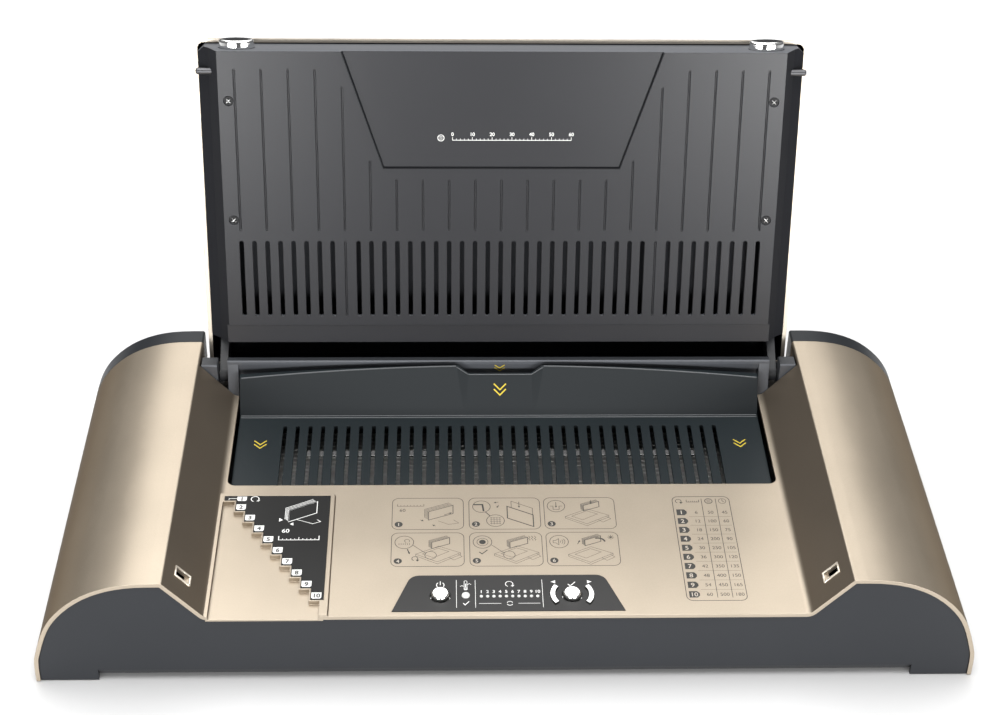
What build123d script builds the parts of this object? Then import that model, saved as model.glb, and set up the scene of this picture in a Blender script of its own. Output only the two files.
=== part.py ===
from build123d import *
import os
from math import acos, cos, degrees, pi, radians, sin, sqrt, tan

os.makedirs("parts", exist_ok=True)

# Thermal binding machine with its lid open, in millimetres. X runs across the machine, Y from the
# front edge to the back, Z up from the surface that it stands on. Heights and depths below are
# measured from that surface and from the front edge.

# Housing
overall_width = 530.0
pod_height = 73.8
pod_depth = 225.0
crown_set = 7.3
pod_roundness = 2.25
pod_flank_steps = 6
foot_z = 0.6
deck_z = 49.0
deck_setback = 24.0
trough_margin = 2.5
trough_run = 21.7
cover_wall = 2.4
foot_round = 5.0
peak_round = 1.5
seam = 0.15
pod_gap_set = 0.9

# Opening in the deck and the thickness gauge beside it
opening_half = 165.0
opening_front = 112.4
opening_round = 5.0
gauge_set = 1.5
gauge_back = 102.0
gauge_steps = 10
gauge_step = 6.0
gauge_slack = 1.0
gauge_tread = 9.47
gauge_first_tread = 96.9
gauge_depth = 2.0
gauge_lip = 0.8
gauge_rise = 0.8
gauge_rim = 3.0
gauge_rim_round = 4.0
gauge_rim_taper = 40.0
label_thick = 0.4
label_reach = 63.4
label_margin = 0.8
pad_margin = 2.5

# Lid, with s measured up the open lid and n out of its inner face
hinge_setback = 12.0
hinge_z = 58.4
lid_lean = 12.63
hinge_s = 13.5
hinge_out = 14.9
lid_side_gap = 2.8
lid_foot_s = 12.0
lid_front_gap = 0.5
lid_crown = 12.5
lid_wall = 2.4
lid_corner = 6.0
lid_taper = 12.0
lid_round = 4.0
face_out = 18.0
face_set = 15.5
face_foot_s = 47.3
cover_foot_s = 35.0
cover_setback = 3.2
cover_skin = 2.6
cover_gap = 0.5
cover_tuck = 1.5
cover_corner = 4.0
bevel_out = 9.0
bevel_set = 9.5
edge_out = 3.0
corner_inset = 0.55
bevel_inset = 0.9
edge_inset = 0.45
step_depth = 2.0

# Lid face details
vent_pitch = 8.0
vent_margin = 8.6
vent_width = 2.8
vent_low_s = 53.6
vent_high_s = 103.6
blind_vent = 12
groove_width = 1.5
groove_depth = 0.9
groove_low_s = 110.0
groove_margin = 10.5
groove_spare = 9.0
badge_height = 72.3
badge_low_half = 72.0
badge_high_half = 96.0
badge_depth = 1.4
badge_margin = 6.8
lid_screw_set = 6.0
lid_screw_drop = (108.9, 33.6)
lid_screw_head = 2.7
lid_screw_shank = 1.5
lid_screw_thick = 1.1
lid_screw_sunk = 0.2
lid_screw_length = 10.0
lid_screw_drive = (3.2, 0.7)
lid_post_r = 3.4

# Hinge
arm_thick = 5.0
arm_gap = 3.0
arm_notch = 2.4
arm_set = 0.2
arm_lug_r = 5.5
arm_back = (5.0, 2.0)
arm_brow = (3.0, 4.6)
arm_knee = (12.5, 5.0)
arm_throat = (0.5, 2.0)
arm_heel = 14.0
arm_entry = 1.5
arm_length = 17.0
arm_play = 0.6
hinge_pin_r = 2.0
bush_wall = 1.0
bush_press = 0.02
pin_set = 0.4
running = 0.05
lug_r = 6.0
lug_thick = 4.4

# Latch
latch_drop = 17.3
latch_out = 10.0
latch_r = 2.05
latch_tip_set = 2.0
latch_length = 34.5
latch_chamfer = 0.8
release_travel = 5.0
release_set = 9.7
release_long = 21.0
release_wide = 11.0
release_out = 8.5
release_gap = 0.3
release_round = 1.5
cap_sunk = 1.2
wedge_thick = 3.8
wedge_gap = 0.2
wedge_reach = 5.0
wedge_dip = 8.9
latch_block = 8.0
latch_block_drop = 3.4
latch_block_rise = 3.0
latch_flat = 2.0
latch_plate = 1.2
latch_spring_r = 2.4
latch_spring_length = 9.3
socket_y = 6.4
socket_z = 7.6

# Rear housing
slot_wall_ahead = 4.2
rail_lip = 2.1
rail_top_z = 71.9
rail_thick = 3.6
rail_front_bevel = 0.7
rail_back_bevel = 1.6
rail_nose_drop = 2.6
rail_margin = 4.2
rail_end_gap = 0.8
cheek_gap = 0.4
cheek_drop = 4.0
rail_end_set = 0.6
rear_deck_z = 48.0
cap_depth = 12.0
cap_vent_count = 12
cap_vent_pitch = 6.0
cap_vent_length = 18.0
cap_vent_width = 2.4

# Carriage
carriage_gap = 1.4
carriage_tuck = 8.4
crease_ahead = 21.8
crease_z = 43.5
panel_fall = 1.0
panel_thick = 2.2
flap_lean = 0.5116
flap_side_z = 65.0
flap_mid_z = 72.0
flap_reach = 15.2
flap_wall = 2.0
flap_skin = 2.4
flap_foot_z = 19.0
notch_z = 65.7
notch_low_half = 21.0
notch_top_half = 19.6
notch_rim_half = 26.5
notch_skin = 1.3
notch_overcut = 1.25
notch_flare = 1.5
notch_foot = 0.6
slot_margin = 25.0
slot_pitch = 7.92
slot_width = 2.5
slot_back_margin = 10.0
slot_front_margin = 6.0
carriage_travel = 60.0
strip_ahead = 34.0
strip_width = 4.8
strip_length = 244.0
strip_thick = 1.2
fit_gap = 0.1
shank_clear = 0.2
head_clear = 0.3
bumper_set = 10.1
bumper_drop = 2.2
bumper_r = 1.6
bumper_proud = 1.8
bumper_taper = 10.0

# Guide rods, racks and the shaft that keeps the carriage square
rod_set = 5.6
rod_z = 28.0
rod_r = 2.5
rod_bush_wall = 1.5
rod_bush_length = 14.0
guide_block = 10.0
block_front_margin = 2.0
block_back_margin = 6.0
block_length = 16.0
module = 1.0
tooth_root = 1.25
tooth_flank_steps = 4
pinion_teeth = 18
pressure_angle = 20.0
backlash = 0.12
pinion_width = 7.0
rack_set = 12.0
shaft_margin = 6.0
shaft_z = 24.0
shaft_r = 3.0
shaft_chamfer = 0.5
shaft_overhang = 6.5
shaft_bracket_set = 10.0
bracket_thick = 6.0
bracket_width = 12.0
rod_bracket_depth = 5.0
rod_front_spare = 8.0
rod_back_gap = 0.6
spring_set = 2.0
spring_z = 15.8
spring_r = 2.6
spring_wire = 0.6
spring_lug = 3.0
spring_gap = 0.2

# Heater
heater_side_gap = 14.0
heater_depth = 68.4
heater_gap = 0.4
heater_corner = 2.0
heater_groove_count = 14
heater_groove_pitch = 4.0
heater_groove = (1.0, 0.6)
heater_groove_margin = 6.0
heater_top = 18.0
heater_plate_thick = 3.0
element_thick = 1.4
tray_wall = 1.0
tray_bottom_z = 9.0
tray_inset = 1.0
element_margin = 6.0
tray_rib = (4.0, 7.0)
tray_rib_pitch = 90.0
insulator_x = 110.0
insulator_margin = 14.0
insulator_r = 5.0
fuse_x = 54.0
fuse_r = 1.6
fuse_length = 12.0
sensor_x = -60.0
sensor_r = 3.0
sensor_thick = 2.4

# Base
pan_margin = 7.0
pan_front = 4.0
pan_back_gap = 3.5
pan_bottom = 2.6
pan_thick = 2.4
pan_lip = 3.0
pan_lip_wall = 2.0
pan_corner = 6.0
pan_vent_count = 21
pan_vent_pitch = 14.0
pan_vent_length = 30.0
pan_vent_width = 3.0
pan_vent_y = 60.0
foot_set = 22.0
foot_front_y = 24.0
foot_back_gap = 11.0
foot_r = 9.0
foot_taper = 6.0
screw_set = 15.5
screw_front_y = 30.0
screw_back_gap = 33.0
screw_boss_r = 4.0
screw_shank_r = 1.7
screw_head_r = 3.2
screw_head_thick = 2.1
screw_sunk = 1.0
screw_length = 14.0
screw_drive = (3.6, 0.8)
screw_drive_depth = 1.2
pan_boss_height = 4.0
pan_boss_wall = 2.0
front_foot_set = 35.0
front_foot_z = 8.0
front_thick = 2.6
front_set = 0.8

# Control panel
fascia_front = 3.3
fascia_back = 32.5
fascia_front_half = 65.0
fascia_back_half = 54.5
fascia_round = 7.0
fascia_proud = 0.4
fascia_thick = 1.6
fascia_ledge = 3.0
button_y = 15.8
power_x = -37.9
select_x = 35.8
button_r = 5.15
well_r = 5.9
button_proud = 2.8
button_round = 1.2
flange_thick = 1.0
flange_wide = 1.2
arrow_radius = 10.9
arrow_width = 2.6
arrow_half_angle = 38.0
arrow_proud = 1.2
arrow_gap = 0.3
press_travel = 0.8
press_gap = 0.3
lens_x = -23.7
lens_r = 2.3
lens_round = 0.7
lens_proud = 0.9
level_first_x = -15.0
level_pitch = 3.5
level_count = 10
level_r = 0.9
level_drop = 0.8
level_proud = 0.3
lens_gap = 0.1
board_z = 38.0
board_thick = 1.6
switch_size = 6.0
switch_height = 3.6
plunger_r = 1.5
plunger_height = 1.0
plunger_gap = 0.1
board_half = 61.0
board_set = 2.0
board_margin = 4.0
board_boss_x = 57.0
board_boss_front = 4.2
board_boss_back = 3.0
board_boss_r = 2.6
board_screw_r = 1.05
board_screw_head_r = 2.2
board_screw_head = 1.4
board_screw_length = 4.0
led_height = 0.8
led_gap = 0.2
level_led = (1.2, 2.0)
status_led = 3.2
buzzer_x = 8.0
buzzer_back = 8.0
buzzer_r = 6.0
buzzer_hole_r = 1.0
buzzer_height = 7.0

# Mains inlet in the back
inlet_x = 120.0
inlet_z = 25.0
inlet_width = 27.0
inlet_height = 19.6
inlet_wall = 1.5
inlet_depth = 20.0
blade_length = 14.0
blade_size = (2.0, 4.0)
blade_apart = 7.0
blade_rise = 2.0
inlet_sunk = 0.6

# Power board, transformer and position sensor
power_board_share = 0.6
power_board_length = 120.0
power_board_rise = 5.0
power_post_r = 2.4
power_post_inset = (4.0, 5.0)
transformer_share = 0.44
transformer_length = 40.0
transformer_core = 26.0
transformer_heights = (8.0, 14.0, 6.0)
transformer_back = 30.0
reader_x = 124.0
reader_ahead = 18.0
reader_size = (10.0, 12.0)
reader_height = 26.0
reader_slot = (4.0, 10.0)

# Worked out from the sizes above
half_width = overall_width / 2
trough_foot_x = opening_half + trough_margin
trough_peak_x = trough_foot_x + trough_run
pod_crown_x = trough_peak_x + crown_set
pod_gap_x = trough_peak_x - pod_gap_set
gauge_left = gauge_set - trough_foot_x
label_right = gauge_left + label_reach
rail_half = trough_foot_x + rail_margin
rail_end_half = pod_gap_x - rail_end_gap
arm_x = rail_half + arm_gap
lid_half = pod_gap_x - lid_side_gap
face_half = lid_half - face_set
bevel_half = lid_half - bevel_set
vent_count = 2 * int((face_half - vent_margin) / vent_pitch) + 1
blind_vents = (vent_count // 2 - blind_vent, vent_count // 2 + blind_vent)
lid_screw_x = face_half - lid_screw_set
latch_tip_x = lid_half - latch_tip_set
latch_tail_x = latch_tip_x - latch_length
release_x = latch_tail_x + release_set
carriage_half = opening_half - carriage_gap
slot_count = 2 * int((carriage_half - slot_margin) / slot_pitch) + 1
bumper_x = carriage_half - bumper_set
rod_x = carriage_half - rod_set
rack_x = rod_x - rack_set
shaft_half = rack_x + shaft_overhang
shaft_bracket_x = rack_x - shaft_bracket_set
spring_x = rod_x + spring_set
heater_half = opening_half - heater_side_gap
screw_x = pod_crown_x + screw_set
deck_depth = pod_depth - deck_setback
hinge_y = pod_depth - hinge_setback
lid_reach = hinge_y + hinge_s - lid_front_gap
cover_end_s = lid_reach - cover_setback
badge_low_s = cover_end_s - badge_height
lid_screw_s = [lid_reach - drop for drop in lid_screw_drop]
latch_s = lid_reach - latch_drop
slot_wall_y = hinge_y - slot_wall_ahead
rail_nose_y = slot_wall_y - rail_lip
rail_back_y = slot_wall_y + rail_thick
cheek_front_y = deck_depth + cheek_gap
crease_y = slot_wall_y - crease_ahead
flap_back_y = crease_y + flap_reach
notch_back_y = flap_back_y - notch_skin
carriage_front = opening_front - carriage_tuck
slot_back_y = crease_y - slot_back_margin
slot_front_y = carriage_front + slot_front_margin
strip_y = crease_y - strip_ahead
block_front_y = carriage_front + block_front_margin
block_back_y = crease_y - block_back_margin
shaft_y = carriage_front + shaft_margin
heater_back = slot_wall_y - heater_gap
heater_front = heater_back - heater_depth
cap_front = pod_depth + seam
cap_back = pod_depth + cap_depth
pan_half = half_width - pan_margin
foot_x = pan_half - foot_set
front_foot_half = half_width - front_foot_set
pan_back = cap_back - pan_back_gap
foot_y = (foot_front_y, pod_depth - foot_back_gap)
screw_y = (screw_front_y, pod_depth - screw_back_gap)
lean = radians(lid_lean)
shell_tan = tan(radians(lid_taper))
shell_cos = cos(radians(lid_taper))
round_s = lid_reach - (lid_crown - lid_round) * shell_tan - lid_round / shell_cos
round_out = hinge_out + lid_crown - lid_round
overall_depth = hinge_y + (round_s - hinge_s) * sin(lean) + round_out * cos(lean) + lid_round
front_y = -overall_depth / 2
trough_rise = pod_height - deck_z
trough_slant = sqrt(trough_run**2 + trough_rise**2)
deck_under = deck_z - cover_wall
gauge_top = deck_z + gauge_rise
pan_top = pan_bottom + pan_thick
pinion_r = module * pinion_teeth / 2
fascia_top = deck_z + fascia_proud
fascia_under = fascia_top - fascia_thick
board_top = board_z + board_thick
switch_top = board_top + switch_height + plunger_height


def level(z):
    """Horizontal sketch plane at a height, measured from the front edge."""
    return Plane((0, front_y, z))


def across(y):
    """Upright sketch plane that faces the front, x across and y up."""
    return Plane((0, front_y + y, 0), x_dir=(1, 0, 0), z_dir=(0, -1, 0))


def side(x):
    """Upright sketch plane along the machine, x to the back and y up."""
    return Plane((x, front_y, 0), x_dir=(0, 1, 0), z_dir=(1, 0, 0))


def lid_point(s, n):
    """Place in the machine of a point of the open lid."""
    ahead = s - hinge_s
    out = n - hinge_out
    return (
        0,
        front_y + hinge_y + ahead * sin(lean) - out * cos(lean),
        hinge_z + ahead * cos(lean) + out * sin(lean),
    )


def lid_level(n):
    """Sketch plane parallel to the lid's face, x across and y up the lid."""
    return Plane(lid_point(0, n), x_dir=(1, 0, 0), z_dir=(0, -cos(lean), sin(lean)))


def lid_back(n):
    """The same plane seen from behind, for what grows towards the lid's back."""
    return Plane(lid_point(0, n), x_dir=(-1, 0, 0), z_dir=(0, cos(lean), -sin(lean)))


def lid_section(s):
    """Sketch plane across the lid, x across and y out of its face."""
    return Plane(lid_point(s, 0), x_dir=(1, 0, 0), z_dir=(0, -sin(lean), -cos(lean)))


def lid_side(x):
    """Sketch plane along the lid, x up the lid and y out of its face."""
    place = lid_point(0, 0)
    return Plane((x, place[1], place[2]), x_dir=(0, sin(lean), cos(lean)), z_dir=(1, 0, 0))


def trough_x(z, inset=0.0):
    """Half-width of the trough between the pods at a height."""
    return trough_foot_x + (z - deck_z) * trough_run / trough_rise + inset * trough_slant / trough_rise


def pod_z(x, inset=0.0):
    """Height of a pod's curved flank above a place across the machine."""
    share = (x - pod_crown_x) / (half_width - inset - pod_crown_x)
    return foot_z + (pod_height - foot_z - inset) * (1 - share**pod_roundness) ** (1 / pod_roundness)


def pod_flank(inset):
    """Points of a pod's flank from its foot to its crown."""
    points = []
    for step in range(pod_flank_steps + 1):
        turn = step * pi / (2 * pod_flank_steps)
        reach = (half_width - inset - pod_crown_x) * abs(cos(turn)) ** (2 / pod_roundness)
        rise = (pod_height - inset - foot_z) * sin(turn) ** (2 / pod_roundness)
        points.append((pod_crown_x + reach, foot_z + rise))
    return points


def housing_half(inset, rounded=True):
    """Right half of the housing's section, inside the outer surface by inset."""
    flank = pod_flank(inset)
    low = deck_z - inset
    high = pod_height - inset
    foot = (trough_x(low, inset), low)
    peak = (trough_x(high, inset), high)
    with BuildSketch() as half:
        with BuildLine():
            Polyline((0, foot_z), (0, low), foot, peak, flank[-1])
            Spline(flank[::-1], tangents=((1, 0), (0, -1)))
            Line(flank[0], (0, foot_z))
        make_face()
        if rounded:
            fillet(half.vertices().sort_by_distance((*foot, 0))[0], foot_round + inset)
        if rounded and inset < peak_round:
            fillet(half.vertices().sort_by_distance((*peak, 0))[0], peak_round - inset)
    return half.sketch


# Top cover: one moulding with the deck, the two slopes and the outer skins of both pods.
socket_place_z = hinge_z + hinge_out - latch_out
socket_place_y = hinge_y + hinge_s - latch_s
boss_top = pod_z(screw_x + screw_boss_r, cover_wall / 2)
boss_foot_z = pan_top + pan_boss_height + fit_gap
boss_lines = (fascia_front + board_boss_front, fascia_back + board_boss_back)
board_bosses = [(x, y) for x in (-board_boss_x, board_boss_x) for y in boss_lines]
screw_places = [(x, y) for x in (-screw_x, screw_x) for y in screw_y]
gauge_treads = [gauge_first_tread - gauge_tread * n for n in range(gauge_steps)]
gauge_risers = [gauge_left + gauge_step * (n + 1) + gauge_slack for n in range(gauge_steps)]
with BuildPart() as top_cover:
    with BuildSketch(across(0)):
        add(housing_half(0))
        add(housing_half(cover_wall), mode=Mode.SUBTRACT)
        mirror(about=Plane.YZ)
    extrude(amount=-pod_depth)
    with BuildSketch(across(deck_depth)):
        with Locations((0, pod_height / 2)):
            Rectangle(2 * pod_gap_x, 2 * pod_height)
    extrude(amount=-(pod_depth - deck_depth), mode=Mode.SUBTRACT)
    with BuildSketch(across(deck_depth - cover_wall)):
        gap_wall_z = pan_top + seam
        with Locations((pod_gap_x, gap_wall_z), (-pod_gap_x - cover_wall, gap_wall_z)):
            Rectangle(cover_wall, pod_height - cover_wall - gap_wall_z, align=Align.MIN)
    extrude(amount=-(pod_depth - deck_depth + cover_wall))
    with BuildSketch(level(deck_under)):
        pad_right = gauge_risers[-1] + pad_margin
        pad_left = gauge_left - pad_margin / 2
        pad_front = front_set + front_thick + seam
        with Locations((pad_left, pad_front)):
            Rectangle(pad_right - pad_left, gauge_back + pad_margin - pad_front, align=Align.MIN)
    extrude(amount=-gauge_depth)
    with BuildSketch(level(deck_under)):
        with Locations((pad_left, 0)):
            Rectangle(pad_right - pad_left, pad_front, align=Align.MIN)
    extrude(amount=-gauge_lip)
    with BuildSketch(level(deck_z)) as rim:
        rim_left = gauge_left - gauge_rim
        rim_right = label_right + gauge_rim
        with Locations((rim_left, 0)):
            Rectangle(rim_right - rim_left, gauge_back + gauge_rim, align=Align.MIN)
        fillet(rim.vertices().group_by(Axis.Y)[-1].sort_by(Axis.X)[-1], gauge_rim_round)
    extrude(amount=gauge_rise, taper=gauge_rim_taper)
    with BuildSketch(level(gauge_top)):
        with BuildLine():
            corners = [(gauge_left, 0), (gauge_left, gauge_treads[0])]
            for riser, tread in zip(gauge_risers, gauge_treads):
                corners += [(riser, tread), (riser, tread - gauge_tread)]
            corners[-1] = (gauge_risers[-1], 0)
            Polyline(*corners, close=True)
        make_face()
    extrude(amount=-gauge_rise - gauge_depth, mode=Mode.SUBTRACT)
    with BuildSketch(level(gauge_top)):
        with BuildLine():
            seat = [(label_right, gauge_back), (gauge_left + label_margin, gauge_back)]
            seat.append((gauge_left + label_margin, gauge_treads[0] + label_margin))
            for riser, tread in zip(gauge_risers[:-1], gauge_treads):
                seat.append((riser + label_margin, tread + label_margin))
                seat.append((riser + label_margin, tread - gauge_tread + label_margin))
            seat.append((label_right, seat[-1][1]))
            Polyline(*seat, close=True)
        make_face()
    extrude(amount=-label_thick, mode=Mode.SUBTRACT)
    with BuildSketch(level(deck_z)) as opening:
        with Locations((0, opening_front)):
            Rectangle(2 * opening_half, pod_depth - opening_front, align=(Align.CENTER, Align.MIN))
        fillet(opening.vertices().group_by(Axis.Y)[0], opening_round)
    extrude(amount=-2 * cover_wall, mode=Mode.SUBTRACT)
    with BuildSketch(level(fascia_under)) as fascia_seat:
        with BuildLine():
            Polyline(
                (-fascia_front_half, fascia_front),
                (fascia_front_half, fascia_front),
                (fascia_back_half, fascia_back),
                (-fascia_back_half, fascia_back),
                close=True,
            )
        make_face()
        fillet(fascia_seat.vertices().group_by(Axis.Y)[-1], fascia_round)
    extrude(amount=cover_wall, mode=Mode.SUBTRACT)
    with BuildSketch(level(deck_under)):
        with Locations((0, (fascia_front + fascia_back) / 2)):
            window_x = 2 * (fascia_back_half - fascia_ledge)
            window_y = fascia_back - fascia_front - 2 * fascia_ledge
            Rectangle(window_x, window_y)
    extrude(amount=cover_wall, mode=Mode.SUBTRACT)
    with BuildSketch(level(board_top)):
        with Locations(*board_bosses):
            Circle(board_boss_r)
    extrude(amount=deck_under - board_top)
    with BuildSketch(level(board_top)):
        with Locations(*board_bosses):
            Circle(board_screw_r + running)
    extrude(amount=board_screw_length + board_screw_head, mode=Mode.SUBTRACT)
    with BuildSketch(level(boss_foot_z)):
        with Locations(*screw_places):
            Circle(screw_boss_r)
    extrude(amount=boss_top - boss_foot_z)
    with BuildSketch(level(boss_foot_z)):
        with Locations(*screw_places):
            Circle(screw_shank_r + running)
    extrude(amount=screw_length, mode=Mode.SUBTRACT)
    with BuildSketch(side(trough_foot_x)):
        with Locations((socket_place_y, socket_place_z)):
            Rectangle(socket_y, socket_z)
    extrude(amount=trough_run + cover_wall, mode=Mode.SUBTRACT)
    with BuildSketch(side(-trough_foot_x)):
        with Locations((socket_place_y, socket_place_z)):
            Rectangle(socket_y, socket_z)
    extrude(amount=-(trough_run + cover_wall), mode=Mode.SUBTRACT)
top_cover.part.label = "top_cover"
export_step(top_cover.part, "parts/top_cover.step")

# Gauge label: a thin plastic label let into the raised field above the steps.
with BuildPart() as gauge_label:
    with BuildSketch(level(gauge_top - label_thick)):
        with BuildLine():
            Polyline(*seat, close=True)
        make_face()
        offset(amount=-seam, kind=Kind.INTERSECTION, mode=Mode.REPLACE)
    extrude(amount=label_thick)
gauge_label.part.label = "gauge_label"
export_step(gauge_label.part, "parts/gauge_label.step")

# Front panel: a dark plate set inside the front rim of the cover, raised between two feet.
with BuildPart() as front_panel:
    with BuildSketch(across(front_set)):
        add(housing_half(cover_wall + seam))
        mirror(about=Plane.YZ)
        Rectangle(2 * front_foot_half, 2 * front_foot_z, mode=Mode.SUBTRACT)
        with Locations((pad_left - seam, deck_under - gauge_lip - seam)):
            Rectangle(pad_right - pad_left + 2 * seam, cover_wall, align=Align.MIN, mode=Mode.SUBTRACT)
    extrude(amount=-front_thick)
front_panel.part.label = "front_panel"
export_step(front_panel.part, "parts/front_panel.step")

# Rear cap: the dark back moulding, full height behind the pods and low between them.
with BuildPart() as rear_cap:
    with BuildSketch(across(cap_front)):
        add(housing_half(0, rounded=False))
        mirror(about=Plane.YZ)
        with Locations((0, rear_deck_z)):
            Rectangle(2 * pod_gap_x, pod_height, align=(Align.CENTER, Align.MIN), mode=Mode.SUBTRACT)
    extrude(amount=-(cap_back - cap_front))
    with BuildSketch(across(cap_front)):
        add(housing_half(cover_wall, rounded=False))
        mirror(about=Plane.YZ)
        with Locations((0, rear_deck_z - cover_wall)):
            Rectangle(
                2 * (pod_gap_x + cover_wall), pod_height, align=(Align.CENTER, Align.MIN), mode=Mode.SUBTRACT
            )
        with Locations((0, foot_z)):
            Rectangle(2 * (half_width - cover_wall), 2 * foot_z, mode=Mode.ADD)
    extrude(amount=-(cap_back - cap_front - cover_wall), mode=Mode.SUBTRACT)
    with BuildSketch(across(cap_back)):
        Rectangle(2 * front_foot_half, 2 * front_foot_z)
        with Locations((inlet_x, inlet_z)):
            Rectangle(inlet_width + 2 * seam, inlet_height + 2 * seam)
        with Locations((-inlet_x, inlet_z)):
            with GridLocations(cap_vent_pitch, 0, cap_vent_count, 1):
                SlotOverall(cap_vent_length, cap_vent_width, rotation=90)
    extrude(amount=cap_back - cap_front, mode=Mode.SUBTRACT)
rear_cap.part.label = "rear_cap"
export_step(rear_cap.part, "parts/rear_cap.step")

# Rear housing: wall and rail behind the document slot, cheeks beside it and the low rear deck.
wall_foot_z = heater_top + cover_wall
rail_nose_low_z = rail_top_z - 4 * rail_nose_drop
cheek_foot_z = deck_under - cheek_drop
end_front_y = cheek_front_y + rail_end_set
lug_root = hinge_y - rail_back_y + rail_back_bevel
hinge_span = 2 * (lug_thick + arm_gap)
with BuildPart() as rear_housing:
    with BuildSketch(side(0)):
        with BuildLine():
            Polyline(
                (slot_wall_y, wall_foot_z),
                (slot_wall_y, rail_nose_low_z),
                (rail_nose_y, rail_top_z - rail_nose_drop),
                (rail_nose_y, rail_top_z - rail_front_bevel),
                (rail_nose_y + rail_front_bevel, rail_top_z),
                (rail_back_y - rail_back_bevel, rail_top_z),
                (rail_back_y, rail_top_z - rail_back_bevel),
                (rail_back_y, rear_deck_z),
                (pod_depth, rear_deck_z),
                (pod_depth, rear_deck_z - cover_wall),
                (rail_back_y, rear_deck_z - cover_wall),
                (rail_back_y, wall_foot_z),
                close=True,
            )
        make_face()
    extrude(amount=rail_half, both=True)
    with BuildSketch(side(opening_half)):
        with BuildLine():
            Polyline(
                (cheek_front_y, cheek_foot_z),
                (cheek_front_y, deck_z),
                (rail_nose_y, rail_top_z - rail_nose_drop),
                (rail_nose_y, rail_top_z - rail_front_bevel),
                (rail_back_y, rail_top_z - rail_back_bevel),
                (rail_back_y, cheek_foot_z),
                close=True,
            )
        make_face()
    extrude(amount=rail_half - opening_half)
    with BuildSketch(side(rail_half)):
        with Locations((cheek_front_y, cheek_foot_z)):
            Rectangle(rail_back_y - cheek_front_y, rear_deck_z - cheek_foot_z, align=Align.MIN)
        with Locations((rail_back_y, rear_deck_z - cover_wall)):
            Rectangle(pod_depth - rail_back_y, cover_wall, align=Align.MIN)
    extrude(amount=rail_end_half - rail_half)
    with BuildSketch(side(arm_x + arm_gap)):
        with BuildLine():
            Polyline(
                (end_front_y, rear_deck_z),
                (end_front_y, rail_top_z - rail_front_bevel),
                (end_front_y + rail_front_bevel, rail_top_z),
                (rail_back_y - rail_back_bevel, rail_top_z),
                (rail_back_y, rail_top_z - rail_back_bevel),
                (rail_back_y, rear_deck_z),
                close=True,
            )
        make_face()
    extrude(amount=rail_end_half - arm_x - arm_gap)
    with BuildSketch(side(rail_half - lug_thick)):
        with Locations((hinge_y, hinge_z)):
            Circle(lug_r)
        with Locations((rail_back_y - rail_back_bevel, hinge_z)):
            Rectangle(lug_root, 2 * lug_r, align=(Align.MIN, Align.CENTER))
    extrude(amount=lug_thick)
    with BuildSketch(side(arm_x + arm_gap)):
        with Locations((hinge_y, hinge_z)):
            Circle(lug_r)
        with Locations((rail_back_y - rail_back_bevel, hinge_z)):
            Rectangle(lug_root, 2 * lug_r, align=(Align.MIN, Align.CENTER))
    extrude(amount=lug_thick)
    with BuildSketch(side(rail_half - lug_thick)):
        with Locations((hinge_y, hinge_z)):
            Circle(hinge_pin_r + running)
    extrude(amount=hinge_span, mode=Mode.SUBTRACT)
    split(bisect_by=Plane.YZ, keep=Keep.TOP)
    mirror(about=Plane.YZ)
rear_housing.part.label = "rear_housing"
export_step(rear_housing.part, "parts/rear_housing.step")

# Hinge pins: a steel pin through two lugs and the lid's arm at each end.
with BuildPart() as hinge_pins:
    with BuildSketch(side(rail_half - lug_thick)):
        with Locations((hinge_y, hinge_z)):
            Circle(hinge_pin_r)
    extrude(amount=hinge_span - pin_set)
    mirror(about=Plane.YZ)
hinge_pins.part.label = "hinge_pins"
export_step(hinge_pins.part, "parts/hinge_pins.step")

# Base pan: the bottom plate with a low lip, foot pads and screw bosses.
with BuildPart() as base_pan:
    with BuildSketch(level(pan_bottom)):
        with Locations((0, (pan_front + pan_back) / 2)):
            RectangleRounded(2 * pan_half, pan_back - pan_front, pan_corner)
    extrude(amount=pan_thick)
    with BuildSketch(level(pan_top)):
        with Locations((0, (pan_front + pan_back) / 2)):
            RectangleRounded(2 * pan_half, pan_back - pan_front, pan_corner)
            offset(amount=-pan_lip_wall, kind=Kind.INTERSECTION, mode=Mode.SUBTRACT)
    extrude(amount=pan_lip)
    with BuildSketch(level(pan_top)):
        with Locations(*screw_places):
            Circle(screw_boss_r + pan_boss_wall)
    extrude(amount=pan_boss_height)
    with BuildSketch(level(pan_bottom)):
        with Locations(*screw_places):
            Circle(screw_shank_r + shank_clear)
    extrude(amount=pan_thick + pan_boss_height, mode=Mode.SUBTRACT)
    with BuildSketch(level(pan_bottom)):
        with Locations(*screw_places):
            Circle(screw_head_r + head_clear)
    extrude(amount=screw_sunk + screw_head_thick + fit_gap, mode=Mode.SUBTRACT)
    with BuildSketch(level(pan_bottom)):
        with Locations((0, pan_vent_y)):
            with GridLocations(pan_vent_pitch, 0, pan_vent_count, 1):
                SlotOverall(pan_vent_length, pan_vent_width, rotation=90)
    extrude(amount=pan_thick, mode=Mode.SUBTRACT)
base_pan.part.label = "base_pan"
export_step(base_pan.part, "parts/base_pan.step")

# Housing screws: self-tapping screws from below into the cover's bosses.
with BuildPart() as housing_screws:
    with BuildSketch(level(pan_bottom + screw_sunk)):
        with Locations(*screw_places):
            Circle(screw_head_r)
    extrude(amount=screw_head_thick)
    with BuildSketch(level(pan_bottom + screw_sunk + screw_head_thick)):
        with Locations(*screw_places):
            Circle(screw_shank_r)
    extrude(amount=screw_length)
    with BuildSketch(level(pan_bottom + screw_sunk)):
        with Locations(*screw_places):
            Rectangle(*screw_drive)
            Rectangle(*screw_drive[::-1])
    extrude(amount=screw_drive_depth, mode=Mode.SUBTRACT)
housing_screws.part.label = "housing_screws"
export_step(housing_screws.part, "parts/housing_screws.step")

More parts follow.
